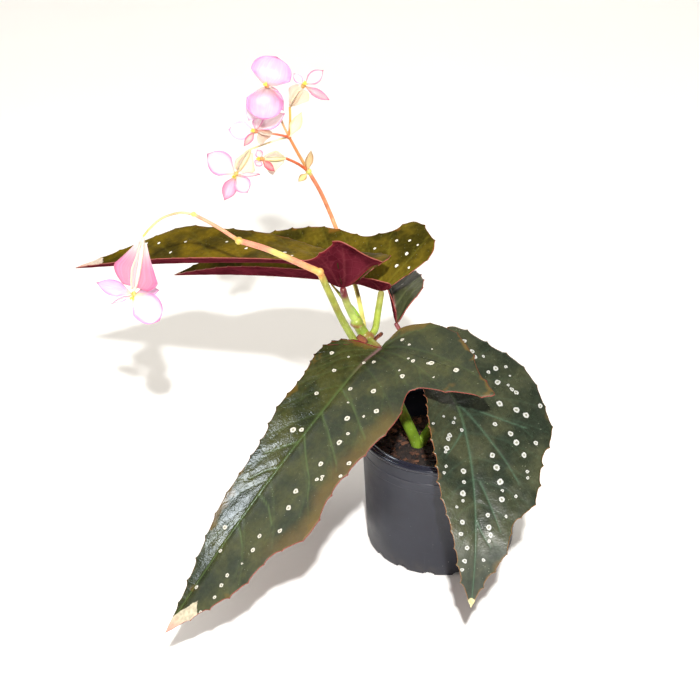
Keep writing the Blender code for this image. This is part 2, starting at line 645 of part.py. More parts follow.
def wing_mesh(name, base, mouth, body, angle, width, peak, collection):
    """One of an ovary's three wings: a thin plate, widest at the share peak of the way down."""
    axis = (mouth - base).normalized()
    across = axis.cross(OUT).normalized()
    forward = across.cross(axis)
    turn = math.radians(angle)
    out = across * math.cos(turn) + forward * math.sin(turn)
    length = (mouth - base).length
    bm = bmesh.new()
    count = 4
    inner, outer = [], []
    for i in range(count + 1):
        t = 0.12 + 0.78 * i / count
        spread = (t / peak) ** 1.3 if t < peak else 1 - 0.9 * ((t - peak) / (1 - peak)) ** 2
        spot = base + axis * (length * t)
        inner.append(bm.verts.new(spot + out * (body * 0.2)))
        outer.append(bm.verts.new(spot + out * (body * 0.8 + width * max(spread, 0.05))))
    for k in range(count):
        bm.faces.new((inner[k], outer[k], outer[k + 1]))
        bm.faces.new((inner[k], outer[k + 1], inner[k + 1]))
    mesh = bpy.data.meshes.new(name)
    bm.to_mesh(mesh)
    bm.free()
    obj = bpy.data.objects.new(name, mesh)
    collection.objects.link(obj)
    thicken = obj.modifiers.new("Thickness", "SOLIDIFY")
    thicken.thickness = TEPAL
    thicken.offset = 0
    return applied(obj)


def make_bloom(name, bloom, collection):
    """A winged ovary, the tepals round its mouth and the yellow heart between them."""
    stalk_end_way = (mm(bloom["stalk"][-1]) - mm(bloom["stalk"][-2])).normalized()
    base, mouth = mm(bloom["stalk"][-1]) + stalk_end_way * 1.5 * GAP, mm(bloom["mouth"])
    axis = (mouth - base).normalized()
    body = bloom["body"] * MM
    spindle = ball(name, Vector(), 1, collection, spokes=6, rings=6)
    turned = axis.to_track_quat("Z", "Y").to_matrix().to_4x4()
    long = Matrix.Diagonal((body, body, (mouth - base).length / 2, 1))
    spindle.data.transform(Matrix.Translation((base + mouth) / 2) @ turned @ long)
    pieces = [spindle]
    for angle, width, peak in bloom["wings"]:
        pieces.append(wing_mesh("wing", base, mouth, body, angle, width * MM, peak, collection))
    joined(name + "_ovary", pieces, "ovary", collection)

    seat = 1.5 * MM
    centre = mouth + (axis + OUT * 0.6).normalized() * (seat + 2.2 * GAP)
    pieces = [ball(name, centre, seat, collection, spokes=6, rings=4)]
    for right, rise, out, width, cup, twist in bloom["tepals"]:
        reach = (RIGHT * right + RISE * rise + OUT * out) * MM
        foot = centre + reach.normalized() * seat * 0.3
        pieces.append(petal_mesh("tepal", foot, mouth + reach, width * MM, cup * MM, twist,
                                 TEPAL, OUT, width < 12, collection))
    joined(name + "_tepals", pieces, "tepal", collection)

    ahead = (OUT + axis * 0.7).normalized()
    heart = ball(name + "_heart", centre + ahead * (seat + 1.9 * MM + 1.2 * GAP), 1.9 * MM,
                 collection, spokes=6, rings=5)
    heart.data.materials.append(material("heart"))
    heart.data.shade_smooth()


def make_scale(name, foot, tip, width, facing, collection):
    colour = "scale" if name.startswith("stipule") else "bract"
    made = petal_mesh(name, mm(foot), mm(tip), width * MM, 0.8 * MM, 0, TEPAL,
                      Vector(facing), True, collection)
    made.name = name
    made.data.materials.append(material(colour))
    made.data.shade_smooth()


def build():
    clear_scene()
    plant = new_collection(PLANT)
    make_pot(plant)
    make_soil(plant)
    make_canes(plant)
    for name, leaf in LEAVES.items():
        make_leaf(name, leaf, plant)
    make_stalk("stalk_lower",
               ((LOWER_STALK, 2.7, 2.2), (LOWER_RACHIS, 2.2, 1.8), (LOWER_TWIG, 1.3, 1.1),
                (LOWER_PEDICEL, 0.8, 0.7)),
               ((LOWER_STALK[-1], 2.7), (LOWER_RACHIS[-1], 2.5), (LOWER_TWIG[-1], 1.6)), plant)
    make_stalk("stalk_upper",
               ((UPPER_STALK, 1.6, 1.4), (UPPER_RACHIS, 1.2, 1.0), (TWIG_TO_1, 0.8, 0.7),
                (TWIG_TO_2, 0.9, 0.8), (TWIG_TO_3, 0.9, 0.7), (TWIG_TO_5, 1.1, 0.9),
                (TWIG_TO_4, 0.7, 0.6)),
               ((UPPER_STALK[-1], 2.2), (UPPER_RACHIS[-1], 1.6)), plant)
    for name, bloom in BLOOMS.items():
        make_bloom(name, bloom, plant)
    for name, (foot, tip, width, facing) in SCALES.items():
        make_scale(name, foot, tip, width, facing, plant)


build()
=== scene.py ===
"""The looks of a potted angel-wing begonia, built around its CAD frame.

The tables are in millimetres, and colours in them are 0 to 255.
"""

import math

import bmesh
import bpy
import numpy as np
from mathutils import Matrix, Vector, kdtree, noise


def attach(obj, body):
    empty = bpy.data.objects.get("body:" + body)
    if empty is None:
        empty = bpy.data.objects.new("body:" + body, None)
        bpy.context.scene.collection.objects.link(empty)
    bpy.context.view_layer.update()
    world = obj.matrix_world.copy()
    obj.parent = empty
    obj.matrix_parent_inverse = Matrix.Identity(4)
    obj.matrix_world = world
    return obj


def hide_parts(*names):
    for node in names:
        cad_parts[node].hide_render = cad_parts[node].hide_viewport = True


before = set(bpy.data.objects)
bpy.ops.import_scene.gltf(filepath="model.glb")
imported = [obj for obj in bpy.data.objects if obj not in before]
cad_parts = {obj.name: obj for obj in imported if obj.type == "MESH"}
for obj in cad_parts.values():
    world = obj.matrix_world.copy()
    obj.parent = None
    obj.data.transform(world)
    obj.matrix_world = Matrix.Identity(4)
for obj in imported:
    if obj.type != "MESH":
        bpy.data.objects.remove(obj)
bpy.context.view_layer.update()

MM = 0.001
RNG = np.random.default_rng(12)

# Leaf shapes, as in the CAD part: ribs are (start on the midrib, left margin, right margin)
TOOTH_PEAK = 0.68
COMMON = dict(swing=0, roll=0, roll_end=0, bend=(-0.8, -0.8), cup=(0, 0), cup_at=0,
              cup_reach=(30, 75), funnel=4, funnel_reach=12, tooth=1.8)
LEAF_A = dict(
    COMMON, at=(-44, -33, 165), length=222, heading=-131, swing=-4, pitch=(-24, -42),
    roll_end=4, fold=(2, 6), teeth=22,
    ribs=((0, -5, 0.6, 1, -3), (0, -20, 8, 4, -12), (0, -29, 28, 7, -20), (0, -24, 51, 11, -26),
          (0, -6, 76, 17, -30.5), (0, 2, 90, 24, -32), (3, 13, 62, 32, -31), (8, 22, 43, 41, -29),
          (20, 45, 49, 52, -28.5), (40, 73, 46, 70, -28.5), (66, 102, 44, 92, -23),
          (92, 131, 49, 114, -21), (122, 152, 36, 140, -19), (152, 178, 30, 168, -12),
          (188, 203, 14, 198, -4), (222, 222, 0, 222, 0)))
LEAF_B = dict(
    COMMON, at=(0, -45, 140), length=142, heading=-71, swing=-30, pitch=(-26, -50),
    roll=-4, fold=(4, 8), teeth=20,
    ribs=((0, -6, 1, -5, -2), (0, -28, 6, -14, -6), (0, -46, 15, -18, -13), (0, -42, 25, -12, -19),
          (0, -27, 38, -2, -20), (0, -14, 50, 8, -20), (2, 2, 56, 17, -22), (10, 22, 56, 28, -23),
          (22, 39, 55, 40, -23), (36, 54, 45, 52, -22), (54, 70, 40, 66, -22),
          (70, 82, 35, 78, -20), (86, 92, 23, 92, -16), (104, 110, 18, 108, -12),
          (122, 126, 7, 124, -8), (142, 142, 0, 142, 0)))
LEAF_C = dict(
    COMMON, at=(-68, -8, 196), length=208, heading=154.7, pitch=(-9, -15), fold=(27, 15),
    cup=(20, -25), cup_at=-14, cup_reach=(20, 75), funnel=16, funnel_reach=20,
    bend=(0, -0.3), teeth=20,
    ribs=((0, -4, 1, -4, -1), (0, -24, 5, -16, -8), (0, -37, 14, -25, -20), (0, -31, 25, -18, -31),
          (0, -17, 35, -4, -37), (0, -8, 31, 8, -36), (2, 2, 27, 20, -33), (8, 14, 25, 32, -35),
          (18, 32, 26, 48, -39), (34, 54, 28, 66, -42), (54, 78, 30, 88, -42),
          (78, 100, 30, 110, -42), (104, 124, 27, 138, -44), (134, 150, 20, 160, -31),
          (172, 182, 10, 184, -14), (208, 208, 0, 208, 0)))
LEAF_D = dict(
    COMMON, at=(-43, 20, 180), length=185, heading=145.4, pitch=(-8, -17), fold=(36, 32),
    funnel=3, teeth=18,
    ribs=((0, -4, 1, -9, -5), (0, -12, 6, -17, -14), (0, -16, 14, -23, -24), (0, -12, 20, -25, -36),
          (0, -4, 24, -16, -48), (0, 6, 26, 1, -58), (3, 16, 27, 14, -47), (10, 26, 28, 32, -40),
          (24, 40, 28, 54, -44), (44, 58, 27, 72, -46), (64, 78, 26, 90, -44),
          (86, 98, 24, 110, -40), (110, 120, 20, 128, -32), (132, 140, 14, 146, -22),
          (158, 164, 7, 168, -9), (185, 185, 0, 185, 0)))
LEAF_E = dict(
    COMMON, at=(-32, 30, 151), length=66, heading=100, pitch=(2, -12), fold=(62, 28),
    funnel=15, funnel_reach=8, teeth=12, tooth=1.1,
    ribs=((0, -3, 1, -3, -1), (0, -6, 4, -6, -6), (0, -6, 9, -5, -12), (0, -3, 14, -1, -18),
          (2, 2, 18, 6, -22), (8, 10, 20, 15, -23), (18, 20, 20, 26, -21), (34, 36, 16, 42, -15),
          (50, 52, 8, 56, -7), (66, 66, 0, 66, 0)))

# White spots: place along the midrib, place to its left, radius
SPOTS_A = (
    (-9.2, 12.2, 1.2), (-7.6, 19.3, 0.8), (20.3, -22.7, 1.3), (30.7, -12.5, 1.3),
    (50, -11.9, 1.3), (17.5, -10.9, 0.7), (16.6, 0.4, 1.2), (13.6, 6.4, 1.2), (37.6, 6.4, 1.3),
    (33, 22, 1.7), (15.5, 31.4, 1.5), (-0.9, 41.9, 1.7), (-3.2, 59, 1.6), (2.6, 29.9, 1.2),
    (44.5, 33.3, 1.6), (56.7, 19.5, 1.8), (51.1, 28.4, 0.9), (65.4, 27.2, 1.1), (73, 26.2, 1.8),
    (78.5, -8.3, 1.9), (75.9, -3.5, 1.5), (90.2, 25, 1.6), (82, 41.6, 1.3), (91.4, 42.5, 1.2),
    (99.9, 29.9, 1.2), (112.1, 22.5, 1.7), (122.9, 25.5, 1.7), (137.3, 30.5, 1.5),
    (145.7, 20.2, 1.4), (154.8, 22.2, 1.4), (174.9, 17, 1.3), (181.6, 17.5, 1.4),
    (190.2, 1.5, 1.3), (189.4, 18.3, 1.2), (46.8, 11.9, 0.7), (12.6, 26.6, 0.7),
    (-10.5, 35.6, 0.6), (2.2, 25.9, 0.7), (7.7, 50, 0.6), (151.5, -6.3, 1.5),
    (164.8, 0.9, 1.3), (200.7, 15.4, 1.2), (96.7, 31.7, 1.2), (98.4, 32.6, 0.9),
    (164.6, 20.9, 0.7), (0.4, 40.1, 1))
SPOTS_B = (
    (-33.8, 21.1, 1.4), (-24.7, 23.5, 1.5), (-20.5, 23.6, 1.6), (-20, 29.5, 1), (-21.9, 44.4, 1),
    (-13.9, 16.3, 0.8), (-9.3, 41.4, 1.1), (-2.2, 41.6, 0.7), (1.1, 32.1, 1.4), (4.3, 37.9, 0.9),
    (7.6, 39.1, 1.3), (10.2, 41, 1.4), (20.7, 53.3, 1.4), (21.8, 36.7, 1.8), (26, 41.8, 1.7),
    (29.8, 20, 1.4), (31.1, -2.1, 1.2), (25.8, -20.3, 1), (34.6, -11, 1.5), (37, 28.2, 1.6),
    (42.9, 30.7, 1.7), (44.2, 42.9, 1.4), (43.4, -14.5, 1.6), (49.7, 14, 1.5), (51.1, 33.8, 1.6),
    (57.7, 15.3, 1.9), (58.9, -5.8, 1.7), (66, -6.1, 1.2), (66.8, 16.5, 1.8), (72.2, 17.4, 0.9),
    (75.9, 25.3, 1), (73.2, -7.4, 1.7), (78, -7.6, 0.9), (81.9, -11.6, 0.9), (91.4, -8.2, 1.4),
    (98.6, -9, 1.3), (114.9, -6.2, 1.3), (55.7, -16.5, 0.9), (60, -18.2, 0.9), (61.4, 34.1, 0.9),
    (65, 33.7, 0.9), (21.1, -12, 0.8), (22.5, -4.7, 0.8), (25.7, -6.4, 1), (37.1, -12.6, 1.3),
    (45.9, -15.7, 1), (86.8, 7.5, 1.3), (94.2, 7.8, 1.5), (98.6, 8.9, 1.3), (102.3, 8.1, 1),
    (106.9, -5.1, 1.3), (77.6, 16.5, 1.6), (113.6, 5.2, 1), (120.2, -7.4, 0.9),
    (87.7, 18.5, 0.8), (16.4, 27.2, 1.9), (-9.1, 34.3, 1.7), (-7.2, 28.3, 1.2), (1.6, 31.1, 1.5))
SPOTS_C = ((160, -24, 1.1), (150, -24, 1.2), (128, -24, 1.2), (96.2, -25.5, 1), (77.4, -18, 1.2),
           (48.1, -17, 1.1), (40.9, -13.1, 0.9), (70, 14, 1.2), (104, 12, 1), (134, -12, 1.1))
SPOTS_D = ((5.8, -38.9, 1.2), (-3.9, -40.2, 1.1), (-11.5, -37.6, 1), (-7.1, -28.8, 1.4),
           (-4.3, -18.1, 1.3), (-14.1, -17.6, 1), (19, -29.8, 1.1), (44, -26, 1.2),
           (62, -20, 1.1), (84, -24, 1.3), (104, -16, 1), (38, 14, 1.1), (74, 12, 1))
SPOTS_E = ((18, -9, 1), (30, -12, 0.9), (24, 9, 0.9), (42, -6, 0.8))

# Side veins that show, each through points like those of the spots
VEINS_A = (((78, 0.5), (90, 12), (102, 25), (113, 33)), ((104, -0.5), (110, -7), (119, -13)),
           ((124, 0.5), (128, 12), (136, 22)), ((60, 0.5), (70, 14), (82, 30), (90, 38)),
           ((40, 0.5), (50, 20), (64, 40)), ((84, -0.5), (92, -8), (100, -15)),
           ((146, 0.5), (152, 9), (160, 17)))
VEINS_B = (((66, 4), (80, 9), (97, 15)), ((11, 0.5), (37, 13), (55, 22), (69, 28)),
           ((17, 8), (28, 27), (35, 41)), ((30, -0.5), (40, -8), (48, -15)),
           ((90, 0.5), (98, 4), (106, 9)))

# What each blade looks like. Amber reaches in from the margin in patches. The dry tip starts at
# dry[1] along the midrib, at dry[2] to its left, and dry[3] further per step to either side. The
# shine goes dull between the two places in dull, towards the tip or the left side.
LOOK = dict(veins=(), spread=1, amber_reach=9, pink=0.6, dull=("tip", 150, 180), shine=0.01,
            gloss=(0.3, 0.42), faint=0.5, columns=34, fine=12)
LOOKS = {
    "leaf_a": dict(
        LOOK, leaf=LEAF_A, spots=SPOTS_A, spot=((198, 194, 182), 0.75), spread=1.1,
        veins=VEINS_A, dark=(34, 40, 20), light=(58, 60, 28), vein=(76, 96, 52),
        base_vein=(140, 100, 108), amber=(108, 80, 24), amber_reach=15, amber_run=(45, 150),
        rim=(96, 38, 32), dry=((196, 186, 160), 196, 8.8, 1.45), dull=("side", -1, 9),
        shine=0.44, gloss=(0.15, 0.26), quilt=0.28, faint=0.3),
    "leaf_b": dict(
        LOOK, leaf=LEAF_B, spots=SPOTS_B, spot=((178, 179, 176), 0.8), spread=1.2,
        veins=VEINS_B, dark=(32, 39, 28), light=(58, 61, 42), vein=(72, 98, 78),
        base_vein=(76, 96, 56), amber=(92, 72, 36), amber_reach=5, rim=(122, 84, 40),
        dry=((196, 190, 140), 136, 0, 0.8), pink=0, dull=("tip", 96, 122), shine=0.42,
        gloss=(0.24, 0.36), quilt=0.28, faint=0.22),
    "leaf_c": dict(
        LOOK, leaf=LEAF_C, spots=SPOTS_C, spot=((238, 234, 222), 0.15), green_half=0.7,
        dark=(59, 50, 9), light=(102, 84, 13), vein=(100, 96, 34), base_vein=(84, 20, 32),
        amber=(104, 66, 20), rim=(96, 44, 34), dry=((214, 196, 178), 186, -4, 0.6), quilt=0.4),
    "leaf_d": dict(
        LOOK, leaf=LEAF_D, spots=SPOTS_D, spot=((236, 230, 216), 0.3), green_half=0.6,
        dark=(52, 47, 12), light=(95, 82, 22), vein=(116, 112, 40), base_vein=(124, 96, 62),
        amber=(150, 92, 40), rim=(110, 58, 36), dry=((190, 168, 130), 178, 0, 0.6), pink=0.3,
        quilt=0.35),
    "leaf_e": dict(
        LOOK, leaf=LEAF_E, spots=SPOTS_E, spot=((210, 204, 190), 0.5), dark=(40, 44, 30),
        light=(72, 76, 50), vein=(120, 130, 84), base_vein=(160, 90, 96), amber=(130, 90, 60),
        amber_reach=3, rim=(124, 50, 54), dry=((180, 150, 120), 64, 0, 0.3), pink=0.4,
        dull=("tip", 30, 60), shine=0.3, gloss=(0.28, 0.4), quilt=0.3, columns=20, fine=10),
}

# Canes and petioles: route, radius at each end, colours from start to end
NODE_LOW, NODE_HIGH, NODE_RIGHT = (-52, -6, 157), (-59, -3, 168), (2, 6, 101)
ROOT = (-15, 12, 50)
# The third colour here is the upper stalk's own yellow-green made paler than it is, as painted light
# against the shadow that leaf C casts on the stalk.
GREEN, PALE_GREEN, STRAW_WITH_PAINTED_LIGHT = (132, 158, 54), (170, 190, 92), (226, 220, 126)
MAROON, BROWN, CORAL = (106, 36, 44), (120, 74, 48), (212, 124, 92)
CANES = (
    ((ROOT, (-17.5, 9, 68), (-29, 3, 99), NODE_LOW), 4.0, 3.8,
     ((0, BROWN), (0.14, (112, 120, 52)), (0.2, (124, 156, 44)), (0.85, (120, 154, 46)), (1, GREEN))),
    ((ROOT, (-13.5, 11, 68), (-8, 9, 81), NODE_RIGHT), 3.4, 3.2,
     ((0, BROWN), (0.28, (112, 120, 52)), (0.4, (124, 156, 44)), (0.7, (116, 150, 46)), (1, GREEN))),
    ((NODE_LOW, NODE_HIGH), 3.9, 3.6, ((0, GREEN), (1, (120, 138, 52)))),
    (((-57, -1, 166), (-61, 3, 173), (-68, 7, 181), (-76, 12, 189)), 3.0, 0.5,
     ((0, (128, 160, 48)), (0.6, (150, 186, 62)), (1, (170, 120, 60)))),
)
PETIOLES = (
    (LEAF_A, (NODE_LOW, (-47, -19, 160)), 2.4, 2.2,
     ((0, GREEN), (0.7, (134, 120, 58)), (1, MAROON))),
    (LEAF_B, (NODE_RIGHT, (5, -6, 112), (4, -22, 126)), 2.4, 2.1,
     ((0, GREEN), (0.6, (140, 160, 60)), (1, (140, 84, 60)))),
    (LEAF_C, (NODE_HIGH, (-63, -5, 177), (-66, -7, 186)), 2.7, 2.3,
     ((0, PALE_GREEN), (0.65, (150, 170, 84)), (0.85, MAROON), (1, MAROON))),
    (LEAF_D, (NODE_LOW, (-47, 0, 161), (-45, 10, 168)), 2.4, 2.2,
     ((0, (140, 158, 62)), (0.7, (152, 166, 68)), (1, (150, 146, 80)))),
    (LEAF_E, (NODE_RIGHT, (-5, 12, 117), (-23, 24, 137)), 1.9, 1.5,
     ((0, GREEN), (0.6, (140, 92, 62)), (1, (120, 48, 56)))),
)
CANE_NODES = ((NODE_LOW, 5.4, (142, 92, 56), (118, 64, 42)),
              (NODE_HIGH, 4.1, (138, 146, 60), (126, 50, 48)),
              (NODE_RIGHT, 4.4, (138, 140, 60), (150, 104, 66)))

# The flower stalks, in the same form, and the knots on them: place, radius, colour
LOWER_BEND, LOWER_NODE, LOWER_TOP = (-82, -35, 219), (-133, -12, 230), (-162, 2, 242)
UPPER_NODE, UPPER_FORK = (-92, 102, 232), (-105, 102, 257)
LOWER_PEDICEL = (LOWER_TOP, (-171, 2, 243), (-182, 3, 239), (-190, 4, 232), (-195, 4, 226))
TWIG_TO_1 = (UPPER_FORK, (-110, 100, 270), (-112, 94, 285))
TWIG_TO_2 = (UPPER_FORK, (-104, 100, 270), (-104, 98, 280))
TWIG_TO_3 = (UPPER_FORK, (-111, 98, 260), (-116, 95, 262))
TWIG_TO_5 = (UPPER_NODE, (-99, 98, 239), (-107, 93, 245))
TWIG_TO_4 = (UPPER_FORK, (-111, 104, 255), (-120, 101, 253), (-131, 92, 252))
LOWER_STALK = (
    (((-56, -8, 154), (-59, -10, 156), (-62, -14, 163), (-69, -20, 180), (-75, -27, 198),
      LOWER_BEND), 2.7, 2.2, ((0, (126, 142, 54)), (0.5, (138, 150, 62)), (0.93, (150, 150, 66)),
                            (1, (196, 152, 80)))),
    ((LOWER_BEND, (-94, -29, 222), (-107, -24, 226), (-118, -18, 228), LOWER_NODE), 2.2, 1.8,
     ((0, (200, 158, 86)), (0.14, (214, 136, 88)), (0.3, (218, 126, 100)), (0.46, (190, 186, 96)),
      (0.56, (200, 180, 96)), (0.68, (218, 132, 108)), (1, (220, 132, 106)))),
    ((LOWER_NODE, (-147, -4, 236), LOWER_TOP), 1.3, 1.1,
     ((0, (218, 142, 110)), (1, (224, 156, 124)))),
    (LOWER_PEDICEL, 0.8, 0.7, ((0, (222, 160, 120)), (0.6, (222, 176, 130)), (1, (206, 186, 92)))),
)
LOWER_JOINTS = ((LOWER_BEND, 2.7, (204, 148, 80)), (LOWER_NODE, 2.5, (206, 180, 84)),
                (LOWER_TOP, 1.6, (214, 206, 96)))
# The upper stalk's first stretch, up to 0.44 of its length, has painted light: its own yellow-green
# is made paler where leaf C's shadow falls on it.
UPPER_STALK = (
    (((-53, 0, 155), (-55, 16, 162), (-59, 38, 172), (-66, 64, 183), (-70, 82, 189),
      (-74, 97, 194), (-78, 101, 203), (-84, 102, 217), UPPER_NODE), 1.6, 1.4,
     ((0, STRAW_WITH_PAINTED_LIGHT), (0.44, (230, 222, 122)), (0.56, (222, 140, 92)), (1, CORAL))),
    ((UPPER_NODE, (-99, 102, 245), UPPER_FORK), 1.2, 1.0,
     ((0, (208, 164, 100)), (1, (206, 124, 72)))),
    (TWIG_TO_1, 0.8, 0.7, ((0, (222, 150, 92)), (1, (226, 200, 164)))),
    (TWIG_TO_2, 0.9, 0.8, ((0, (216, 130, 70)), (1, (214, 178, 84)))),
    (TWIG_TO_3, 0.9, 0.7, ((0, (206, 84, 54)), (1, (222, 120, 84)))),
    (TWIG_TO_5, 1.1, 0.9, ((0, (206, 92, 54)), (1, (214, 110, 66)))),
    (TWIG_TO_4, 0.7, 0.6, ((0, (206, 84, 54)), (0.2, (240, 222, 176)), (1, (238, 222, 160)))),
)
UPPER_JOINTS = ((UPPER_NODE, 2.2, (196, 200, 104)), (UPPER_FORK, 1.6, (206, 120, 66)))

# Blooms, seen square to the photo's view, from out: a tepal is (right, rise, out, width, cup,
# twist, middle, edge); a wing is (angle, width, peak, middle, edge)
RIGHT, RISE, OUT = np.array(((1, 0, 0), (0, 0.42, 0.907), (0, -0.907, 0.42)))
BROAD, SEAT = 18, 1.5
PETAL_COLOURS = ("middle", "edge", "foot")
STIGMA, STIGMA_FOOT = (232, 206, 60), (206, 190, 70)
LILAC, WHITE, PINK, ROSE = (220, 158, 206), (232, 210, 226), (214, 112, 166), (208, 84, 130)
SALMON, YELLOW, BLUSH = (236, 188, 168), (240, 230, 170), (234, 204, 210)
CREAM, APRICOT, HOT_PINK = (244, 230, 204), (236, 186, 142), (224, 112, 140)
BLOOMS = {
    "bloom_hanging": dict(
        stalk=LOWER_PEDICEL, mouth=(-203, 2, 188), body=2.6, ovary=(236, 222, 206),
        foot=(234, 200, 104),
        wings=((355, 14, 0.6, HOT_PINK, ROSE), (165, 13, 0.72, HOT_PINK, ROSE),
               (75, 8, 0.5, WHITE, YELLOW)),
        tepals=((-24, 6, 3, 11, 2, 10, LILAC, PINK), (17, -19, 4, 20, 3, 0, WHITE, PINK),
                (-16, -8, -4, 4, 1, 50, BLUSH, PINK), (15, 1, -6, 9, 2, -20, LILAC, PINK))),
    "bloom_top": dict(
        stalk=TWIG_TO_1, mouth=(-118, 87, 297), body=2.0, ovary=CREAM, foot=(232, 146, 104),
        wings=[(angle, 3, 0.4, CREAM, PINK) for angle in (0, 180, 270)],
        tepals=((6, 20, 1, 28, 3, 0, LILAC, PINK), (-3, -22, 5, 25, 3, 0, (224, 172, 212), PINK),
                (-13, -21, -5, 14, 2, 10, WHITE, LILAC), (11, -15, 1, 10, 2, -25, WHITE, PINK))),
    "bloom_right": dict(
        stalk=TWIG_TO_2, mouth=(-95, 94, 295), body=2.4, ovary=(238, 204, 176),
        foot=(196, 160, 96),
        wings=((90, 8, 0.5, CREAM, APRICOT), (330, 7, 0.55, (236, 200, 172), YELLOW),
               (210, 7, 0.45, (236, 196, 168), SALMON)),
        tepals=((14, 11, 2, 9, 2, 0, (236, 208, 214), (210, 92, 128)),
                (18, -9, 2, 6, 2, 10, (222, 140, 150), ROSE), (-6, 9, 0, 6, 1, -20, BLUSH, PINK))),
    "bloom_middle": dict(
        stalk=TWIG_TO_3, mouth=(-126, 88, 266), body=2.2, ovary=(236, 190, 164),
        foot=(226, 140, 96),
        wings=((110, 5, 0.5, CREAM, SALMON), (190, 7, 0.6, (234, 180, 158), SALMON),
               (270, 4, 0.6, CREAM, APRICOT)),
        tepals=((-19, 1, 2, 13, 2, 0, WHITE, (214, 150, 206)),
                (-9, -10, 3, 5, 2, 20, (232, 164, 156), ROSE),
                (3, 10, -2, 9, 2, 0, (234, 190, 206), PINK),
                (19, 12, 3, 10, 2, -10, (236, 196, 212), PINK))),
    "bloom_left": dict(
        stalk=TWIG_TO_4, mouth=(-140, 85, 238), body=2.4, ovary=(238, 206, 160),
        foot=(226, 176, 100),
        wings=((75, 7, 0.6, CREAM, APRICOT), (195, 8, 0.6, (238, 208, 176), APRICOT),
               (315, 6, 0.55, YELLOW, SALMON)),
        tepals=((-20, 12, 8, 17, 2, 0, WHITE, PINK), (-9, -19, 0, 10, 2, 10, (228, 150, 182), ROSE),
                (7, -14, 2, 12, 2, 0, WHITE, PINK), (16, -2, 4, 4, 1, 40, BLUSH, ROSE))),
    "bloom_low": dict(
        stalk=TWIG_TO_5, mouth=(-122, 89, 246), body=2.3, ovary=(240, 222, 168),
        foot=(222, 160, 96),
        wings=((60, 8, 0.5, CREAM, YELLOW), (190, 9, 0.6, (240, 214, 176), SALMON),
               (300, 6, 0.6, YELLOW, CREAM)),
        tepals=((8, -9, 6, 5, 2, 0, (222, 130, 140), (206, 70, 90)),
                (-5, -5, 2, 6, 2, 0, WHITE, PINK), (-4, 6, -1, 6, 2, 20, BLUSH, PINK))),
}

# Papery scales: foot, tip, width, the way the outer face looks, middle, edge
SCALES = {
    "stipule_front": ((-54.2, -10.6, 154.4), (-57, -18.5, 168), 8, (-0.3, -1, 0.2),
                      (158, 90, 58), (104, 56, 38)),
    "stipule_side": ((-46.6, -6.8, 156.2), (-43.5, -13, 166.5), 8, (0.6, -0.8, 0.2),
                     (150, 82, 54), (98, 52, 38)),
    "bract_up": ((-92.7, 100.2, 233.2), (-90, 96, 250), 6, (0.3, -0.9, 0.1),
                 (238, 208, 158), (200, 150, 104)),
    "bract_down": ((-92.8, 100.3, 231.4), (-99, 95, 227), 5, (-0.5, -1, 0.2),
                   (216, 206, 140), (180, 140, 92)),
    "bract_pale": ((-104.2, 101, 257.8), (-96, 97, 277), 8, (0.2, -1, 0.2),
                   (244, 238, 204), (236, 224, 168)),
}

# The pot, which stands with its middle at 0, and the mix in it
POT_RIM, POT_BASE, POT_WALL, FLOOR = 57, 50.8, 1.5, 2.5
BAND, LINE, STEP = 81, 75, 68
NOTCHES, NOTCH_RADIUS = 16, 4
SOIL_TOP, CROWN = 66, (-15.5, 10)
BARK = ((56, 37, 30), (72, 45, 34), (44, 31, 27), (92, 60, 42), (34, 25, 24))

# Lights, in metres: place, aim, size, power, colour, and the kind of light that one leaves out. The
# key stands above the camera, the shine is a soft box whose glare lies on leaf A, and back lights
# the backdrop.
LIGHTS = (
    ("key", (-0.035, -1.249, 1.194), (-0.06, 0, 0.12), 0.05, 42, (1, 0.985, 0.96), None),
    ("shine", (-1.14, -0.02, 1.31), (-0.1, -0.08, 0.11), 0.4, 10, (0.84, 0.92, 1), "diffuse"),
    ("fill", (0.2, -0.3, 2.4), (0, 0.2, 0), 2.6, 28, (1, 0.92, 0.79), "glossy"),
    ("front", (-0.45, -1.0, 0.45), (-0.12, 0.09, 0.26), 0.5, 2.2, (1, 0.97, 0.94), "glossy"),
    ("back", (0, 0.9, 2.6), (0, 2.4, 1.3), 1.6, 24, (1, 1, 1), "glossy"))


# Small helpers

def linear(colour):
    """0 to 255 screen colour to linear light."""
    share = np.asarray(colour, float) / 255
    return np.where(share <= 0.04045, share / 12.92, ((share + 0.055) / 1.055) ** 2.4)


def rgba(colour):
    return (*linear(colour).tolist(), 1.0)


def tinted(colour, count):
    return np.tile(linear(colour), (count, 1))


def unit(vector):
    return vector / np.linalg.norm(vector)


def put(name, data):
    obj = bpy.data.objects.new(name, data)
    bpy.context.scene.collection.objects.link(obj)
    return obj


def finish_piece(obj, slot, *nodes):
    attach(obj, "root")
    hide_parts(*nodes)


def read(rows, key):
    """Three numbers for each row of one of the mesh's lists."""
    values = np.zeros(len(rows) * 3, np.float32)
    rows.foreach_get(key, values)
    return values.reshape(-1, 3)


def set_attribute(mesh, name, values):
    """A point attribute: one number, or three, for each vertex."""
    values = np.asarray(values, np.float32)
    kind, key = ("FLOAT", "value") if values.ndim == 1 else ("FLOAT_VECTOR", "vector")
    mesh.attributes.new(name, kind, "POINT").data.foreach_set(key, values.ravel())


def mesh_from(name, points, faces):
    """A mesh, which is in metres, from points in millimetres."""
    mesh = bpy.data.meshes.new(name)
    mesh.from_pydata((np.asarray(points) * MM).tolist(), [], faces)
    return mesh


def grid_faces(rows, columns, closed=False, flipped=False, first=0):
    """Quads over a grid of points, row by row. closed joins each row's end to its start."""
    index = np.arange(first, first + rows * columns).reshape(rows, columns)
    if closed:
        index = np.hstack([index, index[:, :1]])
    corners = [index[:-1, :-1], index[:-1, 1:], index[1:, 1:], index[1:, :-1]]
    if flipped:
        corners = [corners[k] for k in (0, 3, 2, 1)]
    return np.stack(corners, -1).reshape(-1, 4).tolist()


